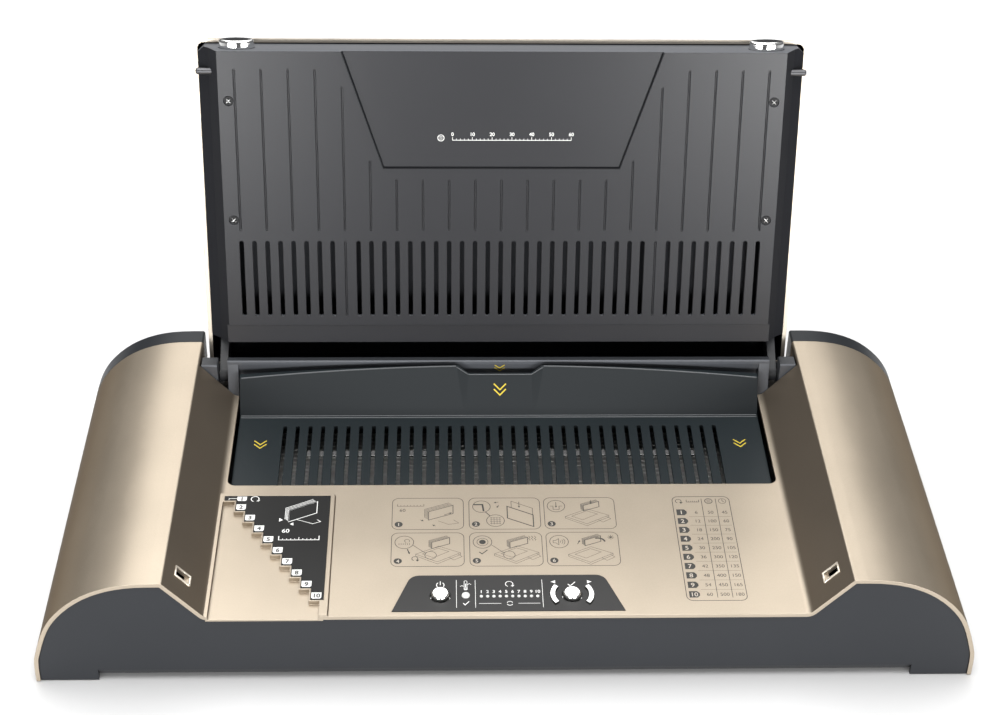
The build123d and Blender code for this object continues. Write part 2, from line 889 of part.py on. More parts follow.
# Rubber feet: four round pads under the pan.
with BuildPart() as rubber_feet:
    with BuildSketch(Plane((0, front_y, 0))):
        with Locations(*[(x, y) for x in (-foot_x, foot_x) for y in foot_y]):
            Circle(foot_r)
    extrude(amount=pan_bottom, taper=foot_taper)
rubber_feet.part.label = "rubber_feet"
export_step(rubber_feet.part, "parts/rubber_feet.step")

# Control fascia: the dark trapezoid plate with the button wells and lens holes.
level_places = [(level_first_x + level_pitch * n, button_y - level_drop) for n in range(level_count)]
arrow_inner = arrow_radius - arrow_width / 2
arrow_outer = arrow_radius + arrow_width / 2


def arrow_arc(grow, centre_angle):
    """Curved key beside the round select button, grown all round."""
    spread = arrow_half_angle + degrees(grow / arrow_radius)
    with BuildSketch() as key:
        with Locations((select_x, button_y)):
            Circle(arrow_outer + grow)
            Circle(arrow_inner - grow, mode=Mode.SUBTRACT)
            with Locations(Rotation(0, 0, centre_angle)):
                far = 3 * arrow_outer
                low = far * sin(radians(spread))
                ahead = far * cos(radians(spread))
                Polygon((0, 0), (ahead, -low), (ahead, low), align=None, mode=Mode.INTERSECT)
    return key.sketch


with BuildPart() as control_fascia:
    with BuildSketch(level(fascia_under)):
        add(fascia_seat.sketch_local)
        offset(amount=-seam, mode=Mode.REPLACE)
    extrude(amount=fascia_thick)
    with BuildSketch(level(fascia_under)):
        with Locations((power_x, button_y), (select_x, button_y)):
            Circle(well_r)
        with Locations((lens_x, button_y)):
            Circle(lens_r + lens_gap)
        with Locations(*level_places):
            Circle(level_r + lens_gap)
        add(arrow_arc(arrow_gap, 0))
        add(arrow_arc(arrow_gap, 180))
    extrude(amount=fascia_thick, mode=Mode.SUBTRACT)
control_fascia.part.label = "control_fascia"
export_step(control_fascia.part, "parts/control_fascia.step")

# Push buttons: chrome caps held under the fascia by a flange, each above its own switch.
stem_foot = switch_top + press_travel + plunger_gap
flange_top = fascia_under - press_gap


def round_button(x):
    """Round cap with its flange and stem."""
    with BuildPart() as button:
        with BuildSketch(level(flange_top - flange_thick)):
            with Locations((x, button_y)):
                Circle(well_r + flange_wide)
        extrude(amount=flange_thick)
        with BuildSketch(level(flange_top)):
            with Locations((x, button_y)):
                Circle(button_r)
        extrude(amount=fascia_top + button_proud - flange_top)
        fillet(button.edges().group_by(Axis.Z)[-1], button_round)
        with BuildSketch(level(stem_foot)):
            with Locations((x, button_y)):
                Circle(plunger_r)
        extrude(amount=flange_top - flange_thick - stem_foot)
    return button.part


def arrow_button(centre_angle, x):
    """Curved key with its flange and stem."""
    with BuildPart() as button:
        with BuildSketch(level(flange_top - flange_thick)):
            add(arrow_arc(2 * arrow_gap, centre_angle))
        extrude(amount=flange_thick)
        with BuildSketch(level(flange_top)):
            add(arrow_arc(0, centre_angle))
        extrude(amount=fascia_top + arrow_proud - flange_top)
        with BuildSketch(level(stem_foot)):
            with Locations((x, button_y)):
                Circle(plunger_r)
        extrude(amount=flange_top - flange_thick - stem_foot)
    return button.part


with BuildPart() as power_button:
    add(round_button(power_x))
power_button.part.label = "power_button"
export_step(power_button.part, "parts/power_button.step")

with BuildPart() as select_button:
    add(round_button(select_x))
select_button.part.label = "select_button"
export_step(select_button.part, "parts/select_button.step")

with BuildPart() as arrow_left_button:
    add(arrow_button(180, select_x - arrow_radius))
arrow_left_button.part.label = "arrow_left_button"
export_step(arrow_left_button.part, "parts/arrow_left_button.step")

with BuildPart() as arrow_right_button:
    add(arrow_button(0, select_x + arrow_radius))
arrow_right_button.part.label = "arrow_right_button"
export_step(arrow_right_button.part, "parts/arrow_right_button.step")

# Lenses: clear light pipes from the board to the fascia.
lens_foot = board_top + led_height + led_gap
with BuildPart() as status_lens:
    with BuildSketch(level(lens_foot)):
        with Locations((lens_x, button_y)):
            Circle(lens_r)
    extrude(amount=fascia_top + lens_proud - lens_foot)
    fillet(status_lens.edges().group_by(Axis.Z)[-1], lens_round)
status_lens.part.label = "status_lens"
export_step(status_lens.part, "parts/status_lens.step")

with BuildPart() as level_lenses:
    with BuildSketch(level(lens_foot)):
        with Locations(*level_places):
            Circle(level_r)
    extrude(amount=fascia_top + level_proud - lens_foot)
level_lenses.part.label = "level_lenses"
export_step(level_lenses.part, "parts/level_lenses.step")

# Control board with its switches, lights and buzzer.
switch_places = [(power_x, button_y), (select_x, button_y)]
switch_places += [(select_x - arrow_radius, button_y), (select_x + arrow_radius, button_y)]
with BuildPart() as control_board:
    with BuildSketch(level(board_z)):
        board_front = fascia_front + board_set
        with Locations((0, board_front)):
            board_depth = fascia_back + board_margin - board_front
            Rectangle(2 * board_half, board_depth, align=(Align.CENTER, Align.MIN))
        with Locations(*board_bosses):
            Circle(board_screw_r + shank_clear, mode=Mode.SUBTRACT)
    extrude(amount=board_thick)
control_board.part.label = "control_board"
export_step(control_board.part, "parts/control_board.step")

with BuildPart() as board_screws:
    with BuildSketch(level(board_z - board_screw_head)):
        with Locations(*board_bosses):
            Circle(board_screw_head_r)
    extrude(amount=board_screw_head)
    with BuildSketch(level(board_z)):
        with Locations(*board_bosses):
            Circle(board_screw_r)
    extrude(amount=board_thick + board_screw_length)
board_screws.part.label = "board_screws"
export_step(board_screws.part, "parts/board_screws.step")

with BuildPart() as tact_switches:
    with BuildSketch(level(board_top)):
        with Locations(*switch_places):
            Rectangle(switch_size, switch_size)
    extrude(amount=switch_height)
    with BuildSketch(level(board_top + switch_height)):
        with Locations(*switch_places):
            Circle(plunger_r)
    extrude(amount=plunger_height)
tact_switches.part.label = "tact_switches"
export_step(tact_switches.part, "parts/tact_switches.step")

with BuildPart() as indicator_leds:
    with BuildSketch(level(board_top)):
        with Locations(*level_places):
            Rectangle(*level_led)
        with Locations((lens_x, button_y)):
            Rectangle(status_led, status_led)
    extrude(amount=led_height)
indicator_leds.part.label = "indicator_leds"
export_step(indicator_leds.part, "parts/indicator_leds.step")

with BuildPart() as buzzer:
    with BuildSketch(level(board_z - buzzer_height)):
        with Locations((buzzer_x, fascia_back - buzzer_back)):
            Circle(buzzer_r)
            Circle(buzzer_hole_r, mode=Mode.SUBTRACT)
    extrude(amount=buzzer_height)
buzzer.part.label = "buzzer"
export_step(buzzer.part, "parts/buzzer.step")

# Carriage: grille panel, leaning flap with a finger notch, back wall and guide blocks in one piece.
fall = tan(radians(panel_fall))
panel_front_z = crease_z - (crease_y - carriage_front) * fall
flap_top_z = flap_mid_z + 2 * flap_wall


def flap_y(z):
    """Depth of the flap's leaning face at a height."""
    return crease_y + (z - crease_z) * flap_lean


void_top_z = flap_side_z - flap_skin
with BuildPart() as carriage:
    with BuildSketch(side(0)):
        with BuildLine():
            Polyline(
                (carriage_front, panel_front_z),
                (crease_y, crease_z),
                (flap_y(flap_top_z), flap_top_z),
                (flap_back_y + flap_lean, flap_top_z),
                (flap_back_y, flap_mid_z),
                (flap_back_y, flap_foot_z),
                (flap_back_y - flap_wall, flap_foot_z),
                (flap_back_y - flap_wall, void_top_z),
                (flap_y(void_top_z) + flap_skin, void_top_z),
                (crease_y + flap_skin, crease_z),
                (crease_y + flap_skin, crease_z - panel_thick),
                (carriage_front, panel_front_z - panel_thick),
                close=True,
            )
        make_face()
    extrude(amount=carriage_half, both=True)
    with BuildSketch(side(0)):
        with BuildLine():
            Polyline(
                (crease_y, crease_z - panel_thick),
                (flap_y(void_top_z), void_top_z),
                (flap_back_y - flap_wall, void_top_z),
                (flap_back_y - flap_wall, crease_z - panel_thick),
                close=True,
            )
        make_face()
    extrude(amount=notch_rim_half, both=True)
    with BuildSketch(across(crease_y)):
        with BuildLine():
            ThreePointArc((-carriage_half, flap_side_z), (0, flap_mid_z), (carriage_half, flap_side_z))
            Polyline(
                (carriage_half, flap_side_z),
                (carriage_half, flap_top_z + flap_wall),
                (-carriage_half, flap_top_z + flap_wall),
                (-carriage_half, flap_side_z),
            )
        make_face()
    extrude(amount=-(slot_wall_y - crease_y), mode=Mode.SUBTRACT)
    flap_plane = Plane((0, front_y + crease_y, crease_z), x_dir=(1, 0, 0), z_dir=(0, -1, flap_lean))
    notch_lean = (notch_back_y - crease_y) / (notch_z - crease_z)
    notch_plane = Plane((0, front_y + crease_y, crease_z), x_dir=(1, 0, 0), z_dir=(0, -1, notch_lean))
    notch_up = notch_overcut * (flap_mid_z - crease_z)
    with BuildSketch(flap_plane):
        Polygon(
            (-notch_low_half - notch_flare, notch_foot),
            (notch_low_half + notch_flare, notch_foot),
            (notch_rim_half + notch_flare, notch_up),
            (-notch_rim_half - notch_flare, notch_up),
            align=None,
        )
    with BuildSketch(notch_plane):
        Polygon(
            (-notch_low_half, notch_foot),
            (notch_low_half, notch_foot),
            (notch_top_half, notch_up + flap_wall),
            (-notch_top_half, notch_up + flap_wall),
            align=None,
        )
    loft(ruled=True, mode=Mode.SUBTRACT)
    with BuildSketch(across(crease_y)):
        Polygon(
            (-notch_top_half, notch_z),
            (notch_top_half, notch_z),
            (notch_rim_half + notch_flare, flap_mid_z + notch_skin),
            (-notch_rim_half - notch_flare, flap_mid_z + notch_skin),
            align=None,
        )
    extrude(amount=-(slot_wall_y - crease_y), mode=Mode.SUBTRACT)
    with BuildSketch(level(crease_z + panel_thick)):
        with Locations((0, (slot_front_y + slot_back_y) / 2)):
            with GridLocations(slot_pitch, 0, slot_count, 1):
                SlotOverall(slot_back_y - slot_front_y, slot_width, rotation=90)
    extrude(amount=-4 * panel_thick, mode=Mode.SUBTRACT)
    with BuildSketch(level(rod_z - guide_block / 2)):
        for block_y in (block_front_y, block_back_y):
            with Locations((rod_x, block_y), (-rod_x, block_y)):
                Rectangle(guide_block, block_length, align=(Align.CENTER, Align.MIN))
    extrude(amount=panel_front_z - panel_thick / 2 - rod_z + guide_block / 2)
    with BuildSketch(level(rod_z - guide_block / 2)):
        with Locations((rod_x, block_back_y), (-rod_x, block_back_y)):
            Rectangle(guide_block, crease_y - block_back_y, align=(Align.CENTER, Align.MIN))
    extrude(amount=crease_z - panel_thick / 2 - rod_z + guide_block / 2)
    with BuildSketch(level(spring_z - spring_r)):
        with Locations((spring_x, block_front_y), (-spring_x, block_front_y)):
            Rectangle(2 * spring_r, spring_lug, align=(Align.CENTER, Align.MIN))
    extrude(amount=rod_z - spring_z)
    with BuildSketch(across(block_front_y)):
        with Locations((rod_x, rod_z), (-rod_x, rod_z)):
            Circle(rod_r + rod_bush_wall + running)
    extrude(amount=-(slot_wall_y - block_front_y), mode=Mode.SUBTRACT)
carriage.part.label = "carriage"
export_step(carriage.part, "parts/carriage.step")

# Stiffener strip: a bright steel strip under the grille.
strip_top = crease_z - (crease_y - strip_y + strip_width / 2) * fall - panel_thick - fit_gap
with BuildPart() as stiffener_strip:
    with BuildSketch(level(strip_top)):
        with Locations((0, strip_y)):
            Rectangle(strip_length, strip_width)
    extrude(amount=-strip_thick)
stiffener_strip.part.label = "stiffener_strip"
export_step(stiffener_strip.part, "parts/stiffener_strip.step")

# Rear bumpers: two soft bumps on the flap's back edge.
with BuildPart() as rear_bumpers:
    with BuildSketch(across(flap_back_y)):
        with Locations((bumper_x, flap_side_z - bumper_drop), (-bumper_x, flap_side_z - bumper_drop)):
            Circle(bumper_r)
    extrude(amount=-bumper_proud, taper=bumper_taper)
rear_bumpers.part.label = "rear_bumpers"
export_step(rear_bumpers.part, "parts/rear_bumpers.step")

# Rod bushes: plain bushes pressed into the guide blocks.
bush_set = (block_length - rod_bush_length) / 2
with BuildPart() as rod_bushes:
    for block_y in (block_front_y, block_back_y):
        with BuildSketch(across(block_y + bush_set)):
            with Locations((rod_x, rod_z), (-rod_x, rod_z)):
                Circle(rod_r + rod_bush_wall)
                Circle(rod_r + running, mode=Mode.SUBTRACT)
        extrude(amount=-rod_bush_length)
rod_bushes.part.label = "rod_bushes"
export_step(rod_bushes.part, "parts/rod_bushes.step")

# Guide rods and the brackets that hold their ends.
rod_front = block_front_y - carriage_travel - rod_front_spare
rod_back = slot_wall_y - rod_back_gap
with BuildPart() as guide_rods:
    with BuildSketch(across(rod_front)):
        with Locations((rod_x, rod_z), (-rod_x, rod_z)):
            Circle(rod_r)
    extrude(amount=-(rod_back - rod_front))
guide_rods.part.label = "guide_rods"
export_step(guide_rods.part, "parts/guide_rods.step")

with BuildPart() as rod_brackets:
    for bracket_y in (rod_front, rod_back - rod_bracket_depth):
        with BuildSketch(across(bracket_y)):
            with Locations((rod_x, pan_top), (-rod_x, pan_top)):
                bracket_rise = rod_z - pan_top + guide_block / 2
                Rectangle(guide_block + rod_bush_wall, bracket_rise, align=(Align.CENTER, Align.MIN))
            with Locations((rod_x, rod_z), (-rod_x, rod_z)):
                Circle(rod_r + running, mode=Mode.SUBTRACT)
        extrude(amount=-rod_bracket_depth)
rod_brackets.part.label = "rod_brackets"
export_step(rod_brackets.part, "parts/rod_brackets.step")

# Return springs: close-wound tension springs from the carriage to the rear brackets.
spring_start = block_front_y + spring_lug + spring_gap
spring_end = rod_back - rod_bracket_depth - spring_gap
with BuildPart() as return_springs:
    with BuildSketch(across(spring_start)):
        with Locations((spring_x, spring_z), (-spring_x, spring_z)):
            Circle(spring_r)
            Circle(spring_r - spring_wire, mode=Mode.SUBTRACT)
    extrude(amount=-(spring_end - spring_start))
return_springs.part.label = "return_springs"
export_step(return_springs.part, "parts/return_springs.step")

# Racks under the carriage, and the shaft with two pinions that keeps it square.
rack_pitch_z = shaft_z + pinion_r
rack_top_z = panel_front_z - panel_thick - 2 * fit_gap
tooth_pitch = pi * module
slant = tan(radians(pressure_angle))
rack_start = shaft_y - 2 * tooth_pitch
rack_teeth = int(carriage_travel / tooth_pitch) + 4
rack_end = rack_start + rack_teeth * tooth_pitch
with BuildPart() as gear_racks:
    with BuildSketch(side(rack_x - pinion_width / 2)):
        with BuildLine():
            profile = [(rack_start, rack_top_z)]
            half_tooth = tooth_pitch / 4 - backlash / 2
            root_z = rack_pitch_z + tooth_root * module
            tip_z = rack_pitch_z - module
            profile.append((rack_start, root_z))
            for n in range(rack_teeth):
                centre = rack_start + tooth_pitch * (n + 0.5)
                root = half_tooth + tooth_root * module * slant
                tip = half_tooth - module * slant
                profile += [(centre - root, root_z), (centre - tip, tip_z)]
                profile += [(centre + tip, tip_z), (centre + root, root_z)]
            profile += [(rack_end, root_z), (rack_end, rack_top_z)]
            Polyline(*profile, close=True)
        make_face()
    extrude(amount=pinion_width)
    mirror(about=Plane.YZ)
gear_racks.part.label = "gear_racks"
export_step(gear_racks.part, "parts/gear_racks.step")

base_r = pinion_r * cos(radians(pressure_angle))
tip_r = pinion_r + module
root_r = pinion_r - tooth_root * module


def involute(r):
    """Roll angle of the involute at a radius."""
    turn = acos(min(1.0, base_r / r))
    return tan(turn) - turn


def tooth(centre_angle):
    """Outline points of one pinion tooth, as sketch x and y."""
    half = pi / (2 * pinion_teeth) - backlash / (2 * pinion_r) + involute(pinion_r)
    flank_step = (tip_r - base_r) / tooth_flank_steps
    radii = [base_r + flank_step * n for n in range(tooth_flank_steps + 1)]
    flank = [(root_r - module / 3, half)] + [(r, half - involute(r)) for r in radii]
    points = [(r, centre_angle - a) for r, a in flank] + [(r, centre_angle + a) for r, a in flank[::-1]]
    return [(shaft_y + r * cos(a), shaft_z + r * sin(a)) for r, a in points]


with BuildPart() as pinions:
    with BuildSketch(side(rack_x - pinion_width / 2)):
        with Locations((shaft_y, shaft_z)):
            Circle(root_r)
        for n in range(pinion_teeth):
            with BuildLine():
                Polyline(*tooth(pi / 2 + 2 * pi * n / pinion_teeth), close=True)
            make_face()
        with Locations((shaft_y, shaft_z)):
            Circle(shaft_r + bush_press, mode=Mode.SUBTRACT)
    extrude(amount=pinion_width)
    mirror(about=Plane.YZ)
pinions.part.label = "pinions"
export_step(pinions.part, "parts/pinions.step")

with BuildPart() as sync_shaft:
    with BuildSketch(side(0)):
        with Locations((shaft_y, shaft_z)):
            Circle(shaft_r)
    extrude(amount=shaft_half, both=True)
    chamfer(sync_shaft.edges().filter_by(GeomType.CIRCLE), shaft_chamfer)
sync_shaft.part.label = "sync_shaft"
export_step(sync_shaft.part, "parts/sync_shaft.step")

with BuildPart() as shaft_brackets:
    with BuildSketch(side(shaft_bracket_x - bracket_thick / 2)):
        with Locations((shaft_y, pan_top)):
            Rectangle(bracket_width, shaft_z - pan_top, align=(Align.CENTER, Align.MIN))
        with Locations((shaft_y, shaft_z)):
            Circle(bracket_width / 2)
            Circle(shaft_r + running, mode=Mode.SUBTRACT)
    extrude(amount=bracket_thick)
    mirror(about=Plane.YZ)
shaft_brackets.part.label = "shaft_brackets"
export_step(shaft_brackets.part, "parts/shaft_brackets.step")

# Heater: an aluminium hot plate on a steel tray, with a flat element clamped between them.
plate_under = heater_top - heater_plate_thick
element_under = plate_under - element_thick
heater_mid = (heater_front + heater_back) / 2
with BuildPart() as heater_plate:
    with BuildSketch(level(plate_under)):
        with Locations((0, heater_mid)):
            RectangleRounded(2 * heater_half, heater_depth, heater_corner)
    extrude(amount=heater_plate_thick)
    with BuildSketch(level(heater_top)):
        with Locations((0, heater_mid)):
            with GridLocations(0, heater_groove_pitch, 1, heater_groove_count):
                Rectangle(2 * (heater_half - heater_groove_margin), heater_groove[0])
    extrude(amount=-heater_groove[1], mode=Mode.SUBTRACT)
heater_plate.part.label = "heater_plate"
export_step(heater_plate.part, "parts/heater_plate.step")

with BuildPart() as heater_element:
    with BuildSketch(level(element_under)):
        with Locations((0, heater_mid)):
            Rectangle(2 * (heater_half - element_margin), heater_depth - 2 * element_margin)
    extrude(amount=element_thick)
heater_element.part.label = "heater_element"
export_step(heater_element.part, "parts/heater_element.step")

tray_rim = tray_inset + tray_wall
with BuildPart() as heater_tray:
    with BuildSketch(level(tray_bottom_z)):
        with Locations((0, heater_mid)):
            Rectangle(2 * (heater_half - tray_inset), heater_depth - 2 * tray_inset)
    extrude(amount=plate_under - tray_bottom_z)
    with BuildSketch(level(tray_bottom_z + tray_wall)):
        with Locations((0, heater_mid)):
            Rectangle(2 * (heater_half - tray_rim), heater_depth - 2 * tray_rim)
    extrude(amount=plate_under - tray_bottom_z, mode=Mode.SUBTRACT)
    with BuildSketch(level(tray_bottom_z + tray_wall)):
        with Locations((0, heater_mid)):
            with GridLocations(tray_rib_pitch, 0, 3, 1):
                Rectangle(tray_rib[0], heater_depth - 2 * tray_rib[1])
    extrude(amount=element_under - tray_bottom_z - tray_wall - fit_gap)
heater_tray.part.label = "heater_tray"
export_step(heater_tray.part, "parts/heater_tray.step")

insulator_lines = (heater_front + insulator_margin, heater_back - insulator_margin)
insulator_places = [(x, y) for x in (-insulator_x, insulator_x) for y in insulator_lines]
with BuildPart() as heater_insulators:
    with BuildSketch(level(pan_top)):
        with Locations(*insulator_places):
            Circle(insulator_r)
    extrude(amount=tray_bottom_z - pan_top)
heater_insulators.part.label = "heater_insulators"
export_step(heater_insulators.part, "parts/heater_insulators.step")

with BuildPart() as thermal_fuse:
    with BuildSketch(side(fuse_x)):
        with Locations((heater_mid, element_under - fuse_r - 2 * fit_gap)):
            Circle(fuse_r)
    extrude(amount=fuse_length)
thermal_fuse.part.label = "thermal_fuse"
export_step(thermal_fuse.part, "parts/thermal_fuse.step")

with BuildPart() as temperature_sensor:
    with BuildSketch(level(element_under - sensor_thick - 2 * fit_gap)):
        with Locations((sensor_x, heater_mid)):
            Circle(sensor_r)
    extrude(amount=sensor_thick)
temperature_sensor.part.label = "temperature_sensor"
export_step(temperature_sensor.part, "parts/temperature_sensor.step")

# Power board and transformer in the right-hand pod.
pod_inside = half_width - pod_gap_x
power_place = (pod_gap_x + pod_inside / 2, pod_depth / 2)
power_board_width = power_board_share * pod_inside
power_board_z = pan_top + power_board_rise
with BuildPart() as power_board:
    with BuildSketch(level(power_board_z)):
        with Locations(power_place):
            Rectangle(power_board_width, power_board_length)
    extrude(amount=board_thick)
    with BuildSketch(level(pan_top)):
        with Locations(power_place):
            post_across = power_board_width - 2 * power_post_inset[0]
            post_along = power_board_length - 2 * power_post_inset[1]
            with GridLocations(post_across, post_along, 2, 2):
                Circle(power_post_r)
    extrude(amount=power_board_rise)
power_board.part.label = "power_board"
export_step(power_board.part, "parts/power_board.step")

transformer_z = power_board_z + board_thick
with BuildPart() as transformer:
    layers = (transformer_length, transformer_core, transformer_length)
    for height, length in zip(transformer_heights, layers):
        with BuildSketch(level(transformer_z)):
            with Locations((power_place[0], power_place[1] + transformer_back)):
                Rectangle(transformer_share * pod_inside, length)
        extrude(amount=height)
        transformer_z += height
transformer.part.label = "transformer"
export_step(transformer.part, "parts/transformer.step")

# Position sensor: a slotted optical sensor on a post that reads how far the carriage has come.
with BuildPart() as position_sensor:
    with BuildSketch(level(pan_top)):
        with Locations((reader_x, shaft_y - reader_ahead)):
            Rectangle(*reader_size)
    extrude(amount=reader_height)
    with BuildSketch(level(pan_top + reader_height)):
        with Locations((reader_x, shaft_y - reader_ahead)):
            Rectangle(reader_slot[0], reader_size[1])
    extrude(amount=-reader_slot[1], mode=Mode.SUBTRACT)
position_sensor.part.label = "position_sensor"
export_step(position_sensor.part, "parts/position_sensor.step")

# Mains inlet: a three-blade appliance socket in the back wall.
inlet_back = cap_back - inlet_sunk
blade_places = [(inlet_x - blade_apart, inlet_z + blade_rise), (inlet_x + blade_apart, inlet_z + blade_rise)]
blade_places.append((inlet_x, inlet_z - blade_rise))
with BuildPart() as mains_inlet:
    with BuildSketch(across(inlet_back)):
        with Locations((inlet_x, inlet_z)):
            Rectangle(inlet_width, inlet_height)
    extrude(amount=inlet_depth)
    with BuildSketch(across(inlet_back)):
        with Locations((inlet_x, inlet_z)):
            Rectangle(inlet_width - 2 * inlet_wall, inlet_height - 2 * inlet_wall)
    extrude(amount=inlet_depth - inlet_wall, mode=Mode.SUBTRACT)
    with BuildSketch(across(inlet_back - inlet_depth + inlet_wall)):
        with Locations(*blade_places):
            Rectangle(*blade_size)
    extrude(amount=-blade_length)
mains_inlet.part.label = "mains_inlet"
export_step(mains_inlet.part, "parts/mains_inlet.step")

# Lid outer shell: the champagne back of the lid, a shallow crowned tray with screw posts.
shell_mid_s = (lid_foot_s + lid_reach) / 2
shell_length = lid_reach - lid_foot_s
post_top = face_out - cover_skin - seam
back_axis = Axis(lid_point(0, 0), (0, cos(lean), -sin(lean)))
lid_screw_places = [(x, s) for x in (-lid_screw_x, lid_screw_x) for s in lid_screw_s]
with BuildPart() as lid_outer_shell:
    with BuildSketch(lid_back(0)):
        with Locations((0, shell_mid_s)):
            RectangleRounded(2 * lid_half, shell_length, lid_corner)
    extrude(amount=lid_crown, taper=lid_taper)
    fillet(lid_outer_shell.faces().sort_by(back_axis)[-1].edges(), lid_round)
    with BuildSketch(lid_back(0)):
        with Locations((0, shell_mid_s)):
            RectangleRounded(2 * (lid_half - lid_wall), shell_length - 2 * lid_wall, lid_corner - lid_wall)
    extrude(amount=lid_crown - lid_wall, taper=lid_taper, mode=Mode.SUBTRACT)
    with BuildSketch(lid_level(-(lid_crown - lid_wall / 2))):
        with Locations(*lid_screw_places):
            Circle(lid_post_r)
    extrude(amount=post_top + lid_crown - lid_wall / 2)
    with BuildSketch(lid_level(post_top)):
        with Locations(*lid_screw_places):
            Circle(lid_screw_shank + running)
    extrude(amount=-lid_screw_length, mode=Mode.SUBTRACT)
lid_outer_shell.part.label = "lid_outer_shell"
export_step(lid_outer_shell.part, "parts/lid_outer_shell.step")

# Lid inner cover: the dark face with vents, grooves, a plain sunk badge field and screw seats.
cover_half = lid_half - lid_wall - cover_gap
lid_seat = lid_screw_thick + lid_screw_sunk
badge_slant = (badge_high_half - badge_low_half) / (cover_end_s - badge_low_s)


def cover_section(inset, top_out, low_out):
    """Half section of the inner cover, inside its outer surface by inset."""
    return [
        (0, low_out),
        (0, top_out - inset),
        (face_half - corner_inset * inset, top_out - inset),
        (bevel_half - bevel_inset * inset, bevel_out - corner_inset * inset),
        (cover_half - inset, edge_out - edge_inset * inset),
        (cover_half - inset, low_out),
    ]


def groove_top(place):
    """Upper end of a groove: short ones stop below the badge field."""
    if abs(place) <= badge_low_half:
        return badge_low_s - badge_margin
    if abs(place) < badge_low_half + groove_spare:
        return badge_low_s + badge_margin - groove_width
    if abs(place) < badge_high_half + groove_spare / 2:
        return cover_end_s - 2 * groove_margin
    return cover_end_s - groove_margin


with BuildPart() as lid_inner_cover:
    with BuildSketch(lid_section(cover_foot_s)):
        with BuildLine():
            Polyline(*cover_section(0, face_out, -cover_tuck), close=True)
        make_face()
        mirror(about=Plane.YZ)
    extrude(amount=-(cover_end_s - cover_foot_s))
    with BuildSketch(lid_section(face_foot_s + cover_skin)):
        with BuildLine():
            Polyline(*cover_section(cover_skin, face_out, -cover_tuck - 1), close=True)
        make_face()
        mirror(about=Plane.YZ)
    extrude(amount=-(cover_end_s - cover_skin - face_foot_s - cover_skin), mode=Mode.SUBTRACT)
    with BuildSketch(lid_section(cover_foot_s + cover_skin)):
        with BuildLine():
            Polyline(*cover_section(cover_skin, face_out - step_depth, -cover_tuck - 1), close=True)
        make_face()
        mirror(about=Plane.YZ)
    extrude(amount=-(face_foot_s - cover_foot_s), mode=Mode.SUBTRACT)
    with BuildSketch(lid_level(face_out - step_depth)):
        with Locations((0, cover_foot_s)):
            Rectangle(2 * lid_half, face_foot_s - cover_foot_s, align=(Align.CENTER, Align.MIN))
    extrude(amount=step_depth, mode=Mode.SUBTRACT)
    open_vents = [n for n in range(vent_count) if n not in blind_vents]
    vent_start = -vent_pitch * (vent_count - 1) / 2
    vent_mid = (vent_low_s + vent_high_s) / 2
    with BuildSketch(lid_level(face_out)):
        with Locations(*[(vent_start + vent_pitch * n, vent_mid) for n in open_vents]):
            SlotOverall(vent_high_s - vent_low_s, vent_width, rotation=90)
    extrude(amount=-2 * cover_skin, mode=Mode.SUBTRACT)
    with BuildSketch(lid_level(face_out)):
        with Locations(*[(vent_start + vent_pitch * n, vent_mid) for n in blind_vents]):
            SlotOverall(vent_high_s - vent_low_s, groove_width, rotation=90)
        for n in range(0, vent_count, 2):
            groove_x = vent_start + vent_pitch * n
            groove_high = groove_top(groove_x)
            with Locations((groove_x, (groove_low_s + groove_high) / 2)):
                SlotOverall(groove_high - groove_low_s, groove_width, rotation=90)
    extrude(amount=-groove_depth, mode=Mode.SUBTRACT)
    with BuildSketch(lid_level(face_out)):
        high_half = badge_high_half + badge_slant * cover_skin
        Polygon(
            (-badge_low_half, badge_low_s),
            (badge_low_half, badge_low_s),
            (high_half, cover_end_s + cover_skin),
            (-high_half, cover_end_s + cover_skin),
            align=None,
        )
    extrude(amount=-badge_depth, mode=Mode.SUBTRACT)
    with BuildSketch(lid_level(face_out)):
        with Locations(*lid_screw_places):
            Circle(lid_screw_head + head_clear)
    extrude(amount=-lid_seat, mode=Mode.SUBTRACT)
    with BuildSketch(lid_level(face_out)):
        with Locations(*lid_screw_places):
            Circle(lid_screw_shank + shank_clear)
    extrude(amount=-2 * cover_skin, mode=Mode.SUBTRACT)
    with BuildSketch(lid_level(-cover_tuck)):
        for hand in (-1, 1):
            Polygon(
                (hand * (cover_half - cover_corner), cover_end_s),
                (hand * (cover_half + 1), cover_end_s + 1),
                (hand * cover_half, cover_end_s - cover_corner),
                align=None,
            )
    extrude(amount=face_out + cover_tuck, mode=Mode.SUBTRACT)
    with BuildSketch(lid_section(cover_end_s + 1)):
        with Locations((release_x, release_out), (-release_x, release_out)):
            Ellipse(release_long / 2 + release_gap, release_wide / 2 + release_gap)
    extrude(amount=2 * cover_skin, mode=Mode.SUBTRACT)
    with BuildSketch(lid_side(face_half - cover_skin)):
        with Locations((latch_s, latch_out)):
            Circle(latch_r + running)
    extrude(amount=lid_half - face_half, mode=Mode.SUBTRACT)
    with BuildSketch(lid_side(-face_half + cover_skin)):
        with Locations((latch_s, latch_out)):
            Circle(latch_r + running)
    extrude(amount=face_half - lid_half, mode=Mode.SUBTRACT)
    with BuildSketch(lid_section(cover_foot_s - 1)):
        with Locations((arm_x, -cover_tuck), (-arm_x, -cover_tuck)):
            Rectangle(2 * arm_gap, 2 * (edge_out + arm_notch + cover_tuck), align=Align.CENTER)
    extrude(amount=-2 * cover_skin, mode=Mode.SUBTRACT)
lid_inner_cover.part.label = "lid_inner_cover"
export_step(lid_inner_cover.part, "parts/lid_inner_cover.step")

